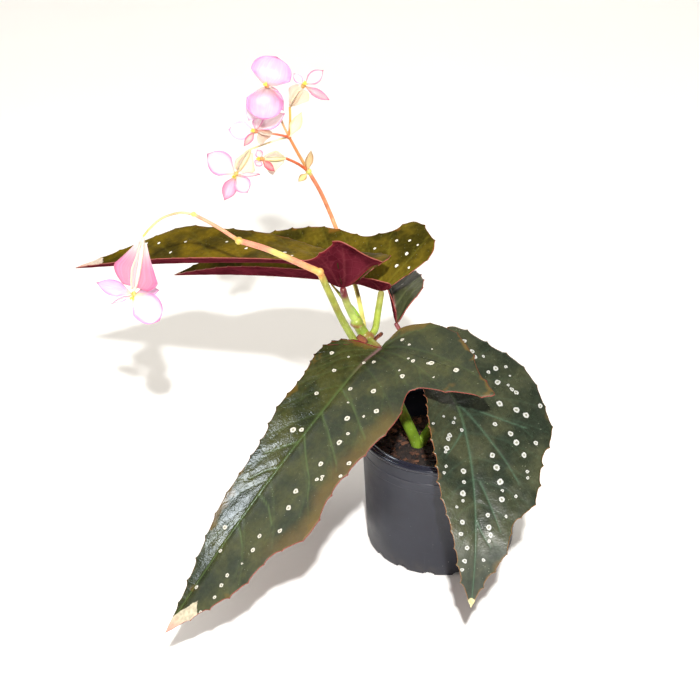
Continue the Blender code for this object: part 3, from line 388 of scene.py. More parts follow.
def welded(mesh, gap, outward=False):
    """Joins points closer than gap and drops what has no size."""
    bm = bmesh.new()
    bm.from_mesh(mesh)
    bmesh.ops.remove_doubles(bm, verts=bm.verts, dist=gap * MM)
    bmesh.ops.dissolve_degenerate(bm, edges=bm.edges, dist=0.001 * MM)
    if outward:
        bmesh.ops.recalc_face_normals(bm, faces=bm.faces)
    bm.to_mesh(mesh)
    bm.free()


def taken(bm):
    """The points and faces of a bmesh, which ends here."""
    verts = np.array([v.co[:] for v in bm.verts])
    faces = [tuple(v.index for v in f.verts) for f in bm.faces]
    bm.free()
    return verts, faces


def sphere(across, down, radius):
    bm = bmesh.new()
    bmesh.ops.create_uvsphere(bm, u_segments=across, v_segments=down, radius=radius)
    return taken(bm)


def stacked(parts):
    """Parts as one, each given by its points, faces and tints."""
    verts, faces, tints = [], [], []
    start = 0
    for points, corners, tint in parts:
        verts.append(points)
        faces += [tuple(i + start for i in face) for face in corners]
        tints.append(tint)
        start += len(points)
    return np.vstack(verts), faces, np.vstack(tints)


def applied(obj):
    """Turns the object into a plain mesh of what its modifiers make."""
    bpy.context.view_layer.update()
    graph = bpy.context.evaluated_depsgraph_get()
    mesh = bpy.data.meshes.new_from_object(obj.evaluated_get(graph))
    obj.modifiers.clear()
    obj.data = mesh
    return obj


def thicken(obj, thickness):
    """Gives a sheet its thickness, half to either side."""
    solid = obj.modifiers.new("Thickness", "SOLIDIFY")
    solid.thickness = thickness * MM
    solid.offset = 0
    return solid


def spline(a, b, c, d, t):
    """Catmull-Rom curve from b to c, as t goes from 0 to 1."""
    return 0.5 * (2 * b + (c - a) * t + (2 * a - 5 * b + 4 * c - d) * t ** 2
                  + (3 * b - a - 3 * c + d) * t ** 3)


def extended(points):
    """The points with one more at each end, straight on."""
    p = np.array(points, float)
    return np.vstack([2 * p[0] - p[1], p, 2 * p[-1] - p[-2]])


def smooth_route(points, steps):
    """Points of a smooth curve through the given ones."""
    p = extended(points)
    t = (np.arange(steps) / steps)[:, None]
    return np.vstack([*(spline(*four, t) for four in zip(p, p[1:], p[2:], p[3:])), p[-2:-1]])


# Materials

class Skin:
    """A material while it is made: its nodes, and the colour and bumps that it has so far."""

    def __init__(self, name, colour, roughness, place=None):
        self.material = bpy.data.materials.new(name)
        self.material.use_nodes = True
        self.material.diffuse_color = rgba(colour)
        self.tree = self.material.node_tree
        self.shader = self.tree.nodes["Principled BSDF"]
        self.place = self.vector(place) if place else self.node("TexCoord").outputs["Object"]
        self.x, self.y, self.z = self.parts(self.place)
        self.colour = rgba(colour)
        self.bumps = None
        self.set("Roughness", roughness)

    def set(self, key, value, made=None):
        """Gives an input of a node, or of the shader, a value or a link."""
        socket = (made or self.shader).inputs[key]
        if isinstance(value, bpy.types.NodeSocket):
            self.tree.links.new(value, socket)
        else:
            socket.default_value = value

    def node(self, kind, inputs=(), **settings):
        made = self.tree.nodes.new("ShaderNode" + kind)
        for key, value in settings.items():
            setattr(made, key, value)
        for key, value in dict(inputs).items():
            self.set(key, value, made)
        return made

    def vector(self, name):
        return self.node("Attribute", attribute_name=name).outputs["Vector"]

    def number(self, name):
        return self.node("Attribute", attribute_name=name).outputs["Fac"]

    def parts(self, vector):
        return self.node("SeparateXYZ", {0: vector}).outputs

    def calc(self, operation, *values):
        return self.node("Math", dict(enumerate(values)), operation=operation).outputs[0]

    def times(self, first, second):
        return self.calc("MULTIPLY", first, second)

    def scaled(self, value, by, plus):
        return self.calc("MULTIPLY_ADD", value, by, plus)

    def between(self, value, low, high, start=0.0, end=1.0):
        """Goes smoothly from start to end as value goes from low to high."""
        inputs = {0: value, 1: low, 2: high, 3: start, 4: end}
        return self.node("MapRange", inputs, interpolation_type="SMOOTHSTEP").outputs[0]

    def mix(self, share, first, second, mode="MIX"):
        inputs = {0: share, 6: first, 7: second}
        return self.node("Mix", inputs, data_type="RGBA", blend_type=mode).outputs[2]

    def stretched(self, *scales):
        return self.node("Mapping", {0: self.place, 3: scales}).outputs[0]

    def cloud(self, scale, detail=3.0, place=None):
        inputs = {"Vector": place or self.place, "Scale": scale, "Detail": detail,
                  "Roughness": 0.55}
        return self.node("TexNoise", inputs).outputs["Fac"]

    def cells(self, scale, feature="F1", randomness=1.0):
        """The distance to the nearest cell's middle, or to the edge between two."""
        inputs = {"Vector": self.place, "Scale": scale, "Randomness": randomness}
        return self.node("TexVoronoi", inputs, feature=feature).outputs["Distance"]

    def start(self, colour):
        self.colour = colour
        self.set("Base Color", colour)

    def paint(self, share, colour, most=None):
        """Where share says so, the colour goes most of the way to another."""
        if most is not None:
            share = self.times(share, most)
        if not isinstance(colour, bpy.types.NodeSocket):
            colour = rgba(colour)
        self.start(self.mix(share, self.colour, colour))

    def shade(self, tone, red=None):
        """Makes the colour lighter or darker by the tone."""
        grey = self.node("CombineXYZ", {0: red or tone, 1: tone, 2: tone}).outputs[0]
        self.start(self.mix(1.0, self.colour, grey, "MULTIPLY"))

    def bump(self, height, strength, distance):
        """Adds a bump map on top of those before. The distance is in millimetres."""
        inputs = {"Height": height, "Strength": strength, "Distance": distance * MM}
        if self.bumps:
            inputs["Normal"] = self.bumps
        self.bumps = self.node("Bump", inputs).outputs[0]
        self.set("Normal", self.bumps)

    def glow(self, weight, radius, scale):
        """Lets light pass through."""
        self.set("Subsurface Weight", weight)
        self.set("Subsurface Radius", radius)
        self.set("Subsurface Scale", scale)


def spot_masks(skin, spots, spread):
    """How far a spot's ring, eye and halo reach here, from the nearest spot's distance in radii."""
    wobble = skin.node("TexNoise", {"Vector": skin.place, "Scale": 0.5, "Detail": 2.0})
    off = skin.node("VectorMath", {0: wobble.outputs["Color"], 1: (0.5, 0.5, 0.5)},
                    operation="SUBTRACT").outputs[0]
    shifted = skin.node("VectorMath", {0: off, 1: (1.5, 1.5, 0), 2: skin.place},
                        operation="MULTIPLY_ADD").outputs[0]
    nearest = None
    for u, v, radius in spots:
        away = skin.node("VectorMath", {0: shifted, 1: (u, v, 0)},
                         operation="DISTANCE").outputs["Value"]
        away = skin.calc("DIVIDE", away, radius * spread)
        nearest = skin.calc("MINIMUM", nearest, away) if nearest else away
    return [skin.between(nearest, *edges) for edges in ((1.0, 0.72), (0.55, 0.25), (1.7, 1.0))]


def amber_run(skin, rim, start, stop):
    """A long amber stretch on the left half's margin."""
    length = skin.times(skin.between(skin.x, start - 14, start + 8),
                        skin.between(skin.x, stop + 16, stop - 14))
    breadth = skin.between(skin.scaled(skin.cloud(0.08), -14.0, rim), 9.0, -5.0)
    return skin.times(skin.times(length, breadth), skin.between(skin.y, 2.0, 12.0))


def dry_tip(skin, look):
    """Where the blade is dry, and the colour it has there."""
    tan, start, middle, slant = look["dry"]
    aside = skin.calc("ABSOLUTE", skin.calc("SUBTRACT", skin.y, middle))
    ragged = skin.scaled(skin.cloud(0.22, 5.0), 6.0, skin.scaled(aside, -slant, skin.x))
    streak = skin.between(skin.cloud(0.4, 5.0), 0.3, 0.7)
    straw = skin.mix(streak, rgba(tan), rgba([0.82 * c for c in tan]))
    length = look["leaf"]["length"]
    pink = skin.times(skin.between(skin.x, length - 14, length - 2), look["pink"])
    return (skin.between(ragged, start + 2.6, start + 3.6),
            skin.mix(pink, straw, rgba((206, 132, 120))))


def leaf_top(name, look):
    """Glossy, mottled green with sunken veins, ring spots, a red rim and a dry tip."""
    skin = Skin(name, look["dark"], 0.3, "leaf")
    midrib, others, _ = skin.parts(skin.vector("veins"))
    rim = skin.number("rim")
    skin.paint(skin.between(skin.cloud(0.035), 0.38, 0.64), look["light"])
    if "green_half" in look:
        skin.paint(skin.between(skin.y, -6.0, 10.0), (44, 54, 24), look["green_half"])
    skin.shade(skin.between(skin.cloud(0.35, 4.0), 0.3, 0.75, 0.8, 1.16))
    net = skin.between(skin.cells(0.19, "DISTANCE_TO_EDGE", 0.9), 0.07, 0.0)
    skin.paint(net, look["vein"], 0.05)
    fleck = skin.times(skin.between(skin.cells(0.5), 0.16, 0.06),
                       skin.between(skin.cloud(0.2), 0.5, 0.62))
    skin.paint(fleck, (172, 176, 150), 0.42)
    skin.paint(others, look["vein"], 0.55)
    rib_colour = skin.mix(skin.between(skin.x, 34.0, 4.0), rgba(look["vein"]),
                          rgba(look["base_vein"]))
    skin.paint(midrib, rib_colour, 0.55)
    reach = skin.scaled(skin.between(skin.cloud(0.045), 0.5, 0.74), look["amber_reach"], 0.6)
    skin.paint(skin.between(skin.calc("DIVIDE", rim, reach), 1.0, 0.0), look["amber"], 0.5)
    if "amber_run" in look:
        skin.paint(amber_run(skin, rim, *look["amber_run"]), (90, 70, 26), 0.6)
    red = skin.between(skin.scaled(skin.cloud(0.5), 0.5, rim), 0.75, 0.35)
    skin.paint(red, look["rim"], 0.85)
    ring, eye, halo = spot_masks(skin, look["spots"], look["spread"])
    skin.paint(halo, (26, 32, 18), 0.3)
    pale, hollow = look["spot"]
    skin.paint(ring, skin.mix(skin.times(eye, hollow), rgba(pale), rgba((92, 94, 70))), 0.95)
    dry, straw = dry_tip(skin, look)
    skin.paint(dry, straw)

    gloss = skin.between(skin.cloud(0.12, 4.0), 0.3, 0.7, *look["gloss"])
    way, low, high = look["dull"]
    dull = skin.between(skin.x if way == "tip" else skin.y, low, high, 0.0, 0.4)
    rough = {0: skin.calc("MAXIMUM", dry, skin.times(ring, 0.5)),
             2: skin.calc("ADD", gloss, dull), 3: 0.7}
    skin.set("Roughness", skin.node("Mix", rough).outputs[0])
    skin.set("Specular IOR Level", look["shine"])
    skin.bump(skin.cells(0.95, "SMOOTH_F1"), 0.3, 0.2)
    skin.bump(skin.scaled(net, -0.3, skin.cloud(0.5, 5.0)), 0.28, 0.3)
    skin.bump(ring, 0.3, 0.1)
    return skin.material


def leaf_under(name):
    """Maroon, with raised veins a little paler."""
    skin = Skin(name, (66, 16, 26), 0.4, "leaf")
    midrib, others, _ = skin.parts(skin.vector("veins"))
    skin.paint(skin.between(skin.cloud(0.05, 4.0), 0.35, 0.68), (96, 32, 44))
    net = skin.between(skin.cells(0.19, "DISTANCE_TO_EDGE", 0.9), 0.08, 0.0)
    skin.paint(net, (112, 46, 56), 0.3)
    skin.paint(skin.calc("MAXIMUM", midrib, skin.times(others, 0.7)), (134, 66, 70), 0.6)
    skin.paint(skin.between(skin.number("rim"), 2.2, 0.2), (124, 40, 46), 0.5)
    skin.set("Specular IOR Level", 0.0)
    skin.bump(skin.cloud(0.9, 4.0), 0.4, 0.3)
    skin.bump(net, 0.5, 0.3)
    return skin.material


def leaf_edge(name, colour):
    skin = Skin(name, colour, 0.5, "leaf")
    skin.paint(skin.cloud(0.4), (168, 84, 70))
    return skin.material


def stalk_material(name, roughness, pore_scale):
    """Living stalk skin: the tint with streaks, pale pores and a waxy, slightly soft shine."""
    skin = Skin(name, GREEN, roughness)
    skin.start(skin.vector("tint"))
    skin.shade(skin.between(skin.cloud(160.0, 4.0), 0.3, 0.7, 0.78, 1.16))
    streaks = skin.cloud(1.0, 3.0, skin.stretched(900, 900, 120))
    skin.paint(skin.between(streaks, 0.55, 0.75), (206, 206, 150), 0.22)
    skin.paint(skin.between(skin.cloud(45.0), 0.52, 0.72), (150, 70, 50), 0.3)
    pore = skin.between(skin.cells(pore_scale), 0.14, 0.05)
    skin.paint(pore, (224, 220, 190), 0.35)
    skin.glow(0.08, (0.002, 0.002, 0.0008), 1.0)
    skin.bump(streaks, 0.35, 0.2)
    skin.bump(pore, 0.3, 0.15)
    return skin.material


def tepal_material():
    """Thin petal: middle to edge colours, fine veins along it, light passing through."""
    skin = Skin("petal_skin", WHITE, 0.42, "petal")
    middle, edge, foot = (skin.vector(name) for name in PETAL_COLOURS)
    rim = skin.calc("MAXIMUM", skin.calc("ABSOLUTE", skin.x), skin.calc("POWER", skin.y, 3.0))
    ragged = skin.scaled(skin.cloud(3.0), 0.2, rim)
    skin.start(middle)
    skin.paint(skin.between(ragged, 0.84, 1.07), edge)
    skin.paint(skin.between(ragged, 0.4, 1.15), edge, 0.5)
    skin.paint(skin.between(skin.y, 0.34, 0.0), foot, 0.7)
    streak = skin.cloud(1.6, 3.0, skin.stretched(9.0, 1.2, 1.0))
    skin.shade(skin.between(streak, 0.42, 0.66, 0.86, 1.06), red=1.0)
    skin.glow(1.0, (1.0, 0.8, 0.85), 0.004)
    skin.bump(streak, 0.35, 0.3)
    return skin.material


def heart_material():
    """Velvety yellow."""
    skin = Skin("stigma", STIGMA, 0.5)
    grain = skin.cells(2600.0)
    skin.start(skin.vector("tint"))
    skin.shade(skin.between(grain, 0.0, 0.8, 1.15, 0.75))
    skin.bump(grain, 0.6, 0.2)
    return skin.material


def scale_material():
    """Dry, fibrous paper."""
    skin = Skin("papery", BROWN, 0.8, "petal")
    middle, edge, _ = (skin.vector(name) for name in PETAL_COLOURS)
    fibre = skin.cloud(1.4, 4.0, skin.stretched(14.0, 2.0, 1.0))
    skin.start(middle)
    skin.paint(skin.between(skin.scaled(fibre, 0.5, skin.calc("ABSOLUTE", skin.x)), 0.7, 1.25), edge)
    skin.shade(skin.between(fibre, 0.3, 0.7, 0.75, 1.15))
    skin.bump(fibre, 0.8, 0.5)
    return skin.material


def pot_material():
    """Charcoal moulded plastic with fine scuffs, dust and a satin shine."""
    skin = Skin("pot_plastic", (27, 29, 39), 0.42)
    skin.paint(skin.between(skin.cloud(26.0, 4.0), 0.35, 0.7), (34, 37, 48))
    brush = skin.between(skin.cloud(1.0, 5.0, skin.stretched(60, 60, 1100)), 0.58, 0.78)
    skin.paint(brush, (64, 68, 80), 0.22)
    runs = skin.between(skin.cloud(1.0, 4.0, skin.stretched(420, 420, 22)), 0.6, 0.8)
    skin.paint(runs, (72, 72, 78), 0.16)
    low = skin.times(skin.between(skin.z, 0.014, 0.0),
                     skin.between(skin.cloud(120.0, 4.0), 0.4, 0.7))
    skin.paint(low, (80, 72, 64), 0.35)
    dust = skin.times(skin.between(skin.cells(330.0), 0.13, 0.05),
                      skin.between(skin.cloud(60.0), 0.5, 0.65))
    skin.paint(dust, (168, 164, 160), 0.5)
    rough = skin.between(skin.cloud(45.0, 5.0), 0.3, 0.7, 0.34, 0.5)
    polish = skin.between(skin.z, 0.083, 0.0845, 0.0, 0.24)
    skin.set("Roughness", skin.calc("SUBTRACT", rough, polish))
    skin.bump(skin.cloud(1900.0, 2.0), 0.12, 0.2)
    skin.bump(brush, 0.2, 0.1)
    return skin.material


def soil_material():
    """Split, fibrous bark."""
    skin = Skin("bark", (84, 52, 36), 0.9)
    skin.start(skin.vector("tint"))
    skin.shade(skin.between(skin.cloud(260.0, 6.0), 0.3, 0.72, 0.5, 1.35))
    fibre = skin.cloud(1.0, 4.0, skin.stretched(1500, 260, 260))
    skin.paint(skin.between(fibre, 0.55, 0.8), (118, 82, 58), 0.3)
    skin.bump(fibre, 0.7, 0.6)
    skin.bump(skin.cloud(800.0, 4.0), 0.7, 0.5)
    return skin.material


def stage_material():
    skin = Skin("backdrop", (244, 243, 241), 0.9)
    skin.paint(skin.cloud(3.0, 2.0), (249, 248, 246))
    return skin.material


# Leaves

def leaf_frame(leaf, u):
    """The midrib's direction, its left side and the blade's normal at distance u along it."""
    share = np.clip(u / leaf["length"], 0, 1)
    heading = np.radians(leaf["heading"] + leaf["swing"] * share)
    pitch = np.radians(leaf["pitch"][0] + (leaf["pitch"][1] - leaf["pitch"][0]) * share)
    roll = np.radians(leaf["roll"] + (leaf["roll_end"] - leaf["roll"]) * share)[..., None]
    along = np.stack([np.cos(pitch) * np.cos(heading), np.cos(pitch) * np.sin(heading),
                      np.sin(pitch)], -1)
    level = np.stack([-np.sin(heading), np.cos(heading), 0 * heading], -1)
    above = np.cross(along, level)
    return (along, level * np.cos(roll) + above * np.sin(roll),
            above * np.cos(roll) - level * np.sin(roll))


def midrib_points(leaf, u):
    steps = np.linspace(0, leaf["length"], 65)
    along = leaf_frame(leaf, steps)[0]
    moves = (along[1:] + along[:-1]) / 2 * np.diff(steps)[:, None]
    rib = np.vstack([np.zeros(3), np.cumsum(moves, axis=0)])
    inside = np.clip(u, 0, leaf["length"])
    at_u = np.stack([np.interp(inside, steps, rib[:, k]) for k in range(3)], -1)
    return np.array(leaf["at"]) + at_u + leaf_frame(leaf, u)[0] * (u - inside)[..., None]


def blade_points(leaf, u, v, side):
    """Points of the blade's middle surface. side is 0 for the left half, 1 for the right."""
    _, left, normal = leaf_frame(leaf, u)
    near = np.exp(-((u - (leaf["cup_at"] if side == 0 else 0)) / leaf["cup_reach"][side]) ** 2)
    fold = np.radians(leaf["fold"][side] + leaf["cup"][side] * near)
    across = np.abs(v)
    from_stalk = np.hypot(u, v) / leaf["funnel_reach"]
    height = (across * np.sin(fold) + leaf["bend"][side] * MM * across ** 2
              + leaf["funnel"] * (1 - np.exp(-from_stalk ** 2)))
    return (midrib_points(leaf, u) + left * (v * np.cos(fold))[..., None]
            + normal * height[..., None])


def rib_rows(leaf, shares):
    """The ribs at the given shares of the margin's length, by a smooth curve through the table."""
    padded = extended(leaf["ribs"])
    last = len(leaf["ribs"]) - 1

    def at(s):
        i = np.minimum(s.astype(int), last - 1)
        return spline(*(padded[i + k] for k in range(4)), (s - i)[:, None])

    fine = np.linspace(0, last, 600)
    rows = at(fine)
    length = sum(np.linalg.norm(np.diff(rows[:, k:k + 2], axis=0), axis=1) for k in (1, 3))
    arc = np.concatenate([[0], np.cumsum(length)])
    return at(np.interp(shares * arc[-1], arc, fine))


def tooth_wave(leaf, shares):
    """0 in a tooth's valley and up to 1 at its tip, which leans to the leaf's tip."""
    phase = shares * leaf["teeth"]
    count = np.floor(phase + 1e-6)
    place = phase - count
    wave = np.where(place < TOOTH_PEAK, (np.maximum(place, 0) / TOOTH_PEAK) ** 6,
                    (np.maximum(1 - place, 0) / (1 - TOOTH_PEAK)) ** 2.2)
    size = 0.55 + 0.45 * np.sin(count * 12.99) ** 2
    return wave * size * np.clip(np.minimum(shares, 1 - shares) * 14, 0, 1)


def margins(leaf, rows, shares):
    """Left and right margin points with their teeth."""
    edges = []
    for first, turn in ((1, 1), (3, -1)):
        edge = rows[:, first:first + 2]
        run = np.gradient(edge, axis=0)
        run /= np.maximum(np.linalg.norm(run, axis=1), 1e-6)[:, None]
        outward = np.stack([-run[:, 1], run[:, 0]], -1) * turn
        edges.append(edge + outward * (tooth_wave(leaf, shares) * leaf["tooth"])[:, None])
    return edges


def fine_shares(leaf, fine):
    """Where the rows of points lie on the margin: so many to a tooth, closer at its tip."""
    rise = np.linspace(0, TOOTH_PEAK, fine * 2 // 3 + 1)[:-1]
    fall = np.linspace(TOOTH_PEAK, 1, fine - fine * 2 // 3 + 1)[:-1]
    shares = np.arange(leaf["teeth"])[:, None] + np.concatenate([rise, fall])
    return np.append(shares.ravel() / leaf["teeth"], 1.0)


def vein_routes(leaf, shown, faint):
    """Each vein as its curve on the flat blade, its width at each end and how strong it is."""
    routes = [(np.stack([np.linspace(0, leaf["length"] - 1, 40), np.zeros(40)], -1), 1.0, 0.5, 1)]
    routes += [(smooth_route(route, 6), 0.75, 0.35, 1) for route in shown]
    t = np.linspace(0, 1, 14)[:, None]
    for k, rib in enumerate(leaf["ribs"][1:-2]):
        start = np.array([rib[0] * 0.92, 0.0])
        main = rib[0] == 0
        if main and k % 2 == 0 and k > 0:
            continue
        for tip in (np.array(rib[1:3]), np.array(rib[3:5])):
            end = start + (tip - start) * 0.95
            span = np.linalg.norm(end - start)
            bow = (start + end) / 2 - np.array([0.12 * span, 0])
            curve = start * (1 - t) ** 2 + bow * 2 * t * (1 - t) + end * t ** 2
            routes.append((curve, 1.0 if main else 0.8, 0.4, faint))
            fork = curve[8]
            aim = end + np.array([0.16 * span, -0.1 * (end[1] - start[1])])
            branch = fork * (1 - t) + (fork * 0.35 + aim * 0.65) * t
            routes.append((branch, 0.6, 0.3, faint))
    return routes


def vein_fields(routes, flat):
    """For each vertex: the midrib's profile, the other veins' profile, and the distance to one."""
    fields = []
    for curve, first, last, strength in routes:
        best, width = np.full(len(flat), 99.0), np.full(len(flat), first)
        for k in range(len(curve) - 1):
            step = curve[k + 1] - curve[k]
            along = np.clip(((flat - curve[k]) @ step) / (step @ step), 0, 1)
            away = np.linalg.norm(flat - curve[k] - along[:, None] * step, axis=1)
            closer = away < best
            best = np.where(closer, away, best)
            share = (k + along) / (len(curve) - 1)
            width = np.where(closer, first + (last - first) * share, width)
        fields.append((np.exp(-(best / width) ** 2) * strength, best))
    profiles, distances = zip(*fields)
    return profiles[0], np.max(profiles[1:], axis=0), np.min(distances, axis=0)


def rim_distance(flat, edges):
    """Each vertex's distance to the margin, a few thousand at a time."""
    rim, batch = np.vstack(edges), 4000
    return np.concatenate([
        np.sqrt(((flat[k:k + batch, None] - rim) ** 2).sum(-1)).min(1)
        for k in range(0, len(flat), batch)])


def leaf_grid(leaf, columns, fine):
    """Grid of blade points from the right margin to the left, with where each is on the blade."""
    shares = fine_shares(leaf, fine)
    rows = rib_rows(leaf, shares)
    edges = margins(leaf, rows, shares)
    reach = np.linspace(0, 1, columns + 1)
    halves = []
    for side, edge in enumerate(edges):
        u = rows[:, :1] * (1 - reach) + edge[:, :1] * reach
        v = edge[:, 1:] * reach
        halves.append((blade_points(leaf, u, v, side), np.stack([u, v, 0 * v], -1)))
    points, flat = (np.concatenate([right[:, :0:-1], left], axis=1)
                    for left, right in zip(*halves))
    return points, flat, edges


def shape_blade(mesh, look, edges):
    """Sinks the veins, lifts the blade between them, and keeps what the shader needs."""
    flat = read(mesh.attributes["leaf"].data, "vector")[:, :2].astype(float)
    height = look["quilt"]
    routes = vein_routes(look["leaf"], look["veins"], look["faint"])
    midrib, others, nearest = vein_fields(routes, flat)
    rim = rim_distance(flat, edges)
    set_attribute(mesh, "veins", np.column_stack([midrib, others, nearest]))
    set_attribute(mesh, "rim", rim)
    quilt = height * (1 - np.exp(-(nearest / 3.5) ** 2)) - 0.28 * np.maximum(midrib, others)
    uneven = np.array([noise.noise(Vector((u * 0.14, v * 0.14, 3.1)))
                       + 0.25 * noise.noise(Vector((u * 0.4, v * 0.4, 7.7))) for u, v in flat])
    relief = (quilt + 0.3 * height * uneven) * np.clip(rim / 5, 0, 1) * MM
    moved = read(mesh.vertices, "co") + read(mesh.vertex_normals, "vector") * relief[:, None]
    mesh.vertices.foreach_set("co", moved.astype(np.float32).ravel())
    mesh.update()


def make_leaf(name, look):
    points, flat, edges = leaf_grid(look["leaf"], look["columns"], look["fine"])
    mesh = mesh_from(name, points.reshape(-1, 3), grid_faces(*points.shape[:2], flipped=True))
    set_attribute(mesh, "leaf", flat.reshape(-1, 3))
    welded(mesh, 0.01)
    shape_blade(mesh, look, edges)
    for material in (leaf_top(name + "_top", look), leaf_under(name + "_under"),
                     leaf_edge(name + "_edge", look["rim"])):
        mesh.materials.append(material)
    mesh.shade_smooth()
    obj = put(name + "_blade", mesh)
    solid = thicken(obj, 0.6)
    solid.material_offset = 1
    solid.material_offset_rim = 2
    finish_piece(obj, "leaf", name)


# Stalks

def colour_at(stops, share):
    places, colours = zip(*stops)
    table = linear(colours)
    return np.stack([np.interp(share, places, table[:, k]) for k in range(3)], -1)


def tube_parts(points, first, last, stops, sides=16, steps=8):
    """A tapering stalk, closed at both ends."""
    route = smooth_route(points, steps)
    share = np.linspace(0, 1, len(route))
    run = np.gradient(route, axis=0)
    run /= np.linalg.norm(run, axis=1)[:, None]
    side = np.cross(run[0], (0.3, 1, 0.1))
    angle = np.linspace(0, 2 * math.pi, sides, endpoint=False)[:, None]
    verts = []
    for at, way, radius in zip(route, run, first + (last - first) * share):
        side = unit(side - way * (side @ way))
        verts.append(at + radius * (np.cos(angle) * side + np.sin(angle) * np.cross(way, side)))
    verts = np.vstack([*verts, route[:1] - run[:1] * 0.2, route[-1:] + run[-1:] * 0.2])
    faces = grid_faces(len(route), sides, closed=True)
    start = len(verts) - 2
    for j in range(sides):
        m = (j + 1) % sides
        faces += [(start, m, j), (start + 1, start - sides + j, start - sides + m)]
    tint = np.vstack([np.repeat(colour_at(stops, share), sides, axis=0),
                      colour_at(stops, np.array([0.0, 1.0]))])
    return verts, faces, tint


def ball_parts(centre, radius, colour, squash=1.0):
    verts, faces = sphere(20, 14, radius)
    return verts * (1, 1, squash) + np.array(centre), faces, tinted(colour, len(verts))


def fused(name, parts, voxel, smooth):
    """One skin over overlapping closed parts. Its colours come from the nearest part."""
    verts, faces, tints = stacked(parts)
    obj = put(name, mesh_from(name, verts, faces))
    remesh = obj.modifiers.new("Skin", "REMESH")
    remesh.mode = "VOXEL"
    remesh.voxel_size = voxel * MM
    soften = obj.modifiers.new("Soften", "SMOOTH")
    soften.iterations = smooth
    applied(obj)
    tree = kdtree.KDTree(len(verts))
    for k, v in enumerate(verts):
        tree.insert(v * MM, k)
    tree.balance()
    colours = []
    for co in read(obj.data.vertices, "co"):
        found = tree.find_n(Vector(co), 5)
        weights = np.array([1 / (d / MM + 0.15) for _, _, d in found])
        colours.append(weights @ tints[[k for _, k, _ in found]] / weights.sum())
    set_attribute(obj.data, "tint", np.array(colours))
    obj.data.shade_smooth()
    return obj


def stalk_end(leaf, radius):
    """Where a petiole's round end stops, in the blade's lowest point."""
    at = midrib_points(leaf, np.zeros(1))[0]
    return tuple(at - leaf_frame(leaf, np.zeros(1))[2][0] * (radius - 0.1))


def make_canes():
    parts = [tube_parts(*length, sides=24, steps=12) for length in CANES]
    parts.append(ball_parts(ROOT, 4.6, BROWN))
    for centre, radius, colour, scar in CANE_NODES:
        parts.append(ball_parts(centre, radius, colour))
        parts.append(ball_parts(np.array(centre) - (0, 0, 1.2), radius * 1.04, scar, 0.35))
    for leaf, route, first, last, stops in PETIOLES:
        end = stalk_end(leaf, last)
        parts.append(tube_parts((*route, end), first, last, stops, sides=20, steps=10))
        parts.append(ball_parts(end, last, stops[-1][1]))
    obj = fused("canes_skin", parts, 0.42, 3)
    obj.data.materials.append(stalk_material("cane_skin", 0.34, 260.0))
    finish_piece(obj, "cane", "canes")


def make_stalk(name, node_name, lengths, joints):
    parts = [tube_parts(*length) for length in lengths]
    parts += [ball_parts(*joint) for joint in joints]
    obj = fused(name, parts, 0.28, 2)
    obj.data.materials.append(STALK_SKIN)
    finish_piece(obj, "stalk", node_name)


# Blooms and scales

def petal_mesh(name, points, faces, coords, look):
    """A mesh with what the petal skins read: where each point is on the petal, and its colours."""
    mesh = mesh_from(name, points, faces)
    set_attribute(mesh, "petal", np.array(coords))
    for key, colour in zip(PETAL_COLOURS, look):
        set_attribute(mesh, key, tinted(colour, len(points)))
    return mesh


def sideways(axis, facing, degrees):
    """The direction square to both the axis and facing, turned about the axis."""
    across = unit(np.cross(axis, facing))
    turn = math.radians(degrees)
    return across * math.cos(turn) + np.cross(across, axis) * math.sin(turn)


def petal_half_width(t, width, rounded):
    """Half the petal's width at share t of its length: 0 at its tip, narrow at its foot."""
    if width > BROAD:
        full = (1 - abs(2 * t ** 0.85 - 1) ** 2.4) ** (1 / 2.4)
    elif rounded:
        full = math.sin(math.pi * t ** 1.15) ** (0.62 if width > 11 else 0.78)
    else:
        full = math.sin(math.pi * t) ** 0.9
    return max(width / 2 * full * min(1, 0.4 + 1.6 * t), 0.6 * (1 - t) ** 4, 0.12)


def petal(name, foot, tip, width, cup, twist, facing, look, rounded=True):
    """A cupped, gently waved petal from foot to tip. facing is the way its inner face looks."""
    rows, half = 26, 9
    foot = np.array(foot, float)
    reach = np.array(tip) - foot
    along = unit(reach)
    across = sideways(along, facing, twist)
    out = np.cross(across, along)
    seed = RNG.uniform(0, 50)
    points, coords = [], []
    for i in range(rows + 1):
        t = (1 - math.cos(math.pi * i / rows)) / 2
        arch = math.sin(math.pi * t)
        half_width = petal_half_width(t, width, rounded)
        for s in np.arange(-half, half + 1) / half:
            lift = cup * (1 - s * s) * arch - cup * 0.6 * t * t
            wave = 0.5 * s * s * noise.noise(Vector((seed, t * 4, s * 1.3)))
            crease = -0.25 * math.exp(-(s * 6) ** 2) * arch
            points.append(foot + reach * t * (1 - 0.05 * s * s * t)
                          + across * half_width * s * 0.98 - out * (lift + wave + crease))
            coords.append((s, t, seed))
    return petal_mesh(name, points, grid_faces(rows + 1, 2 * half + 1), coords, look)


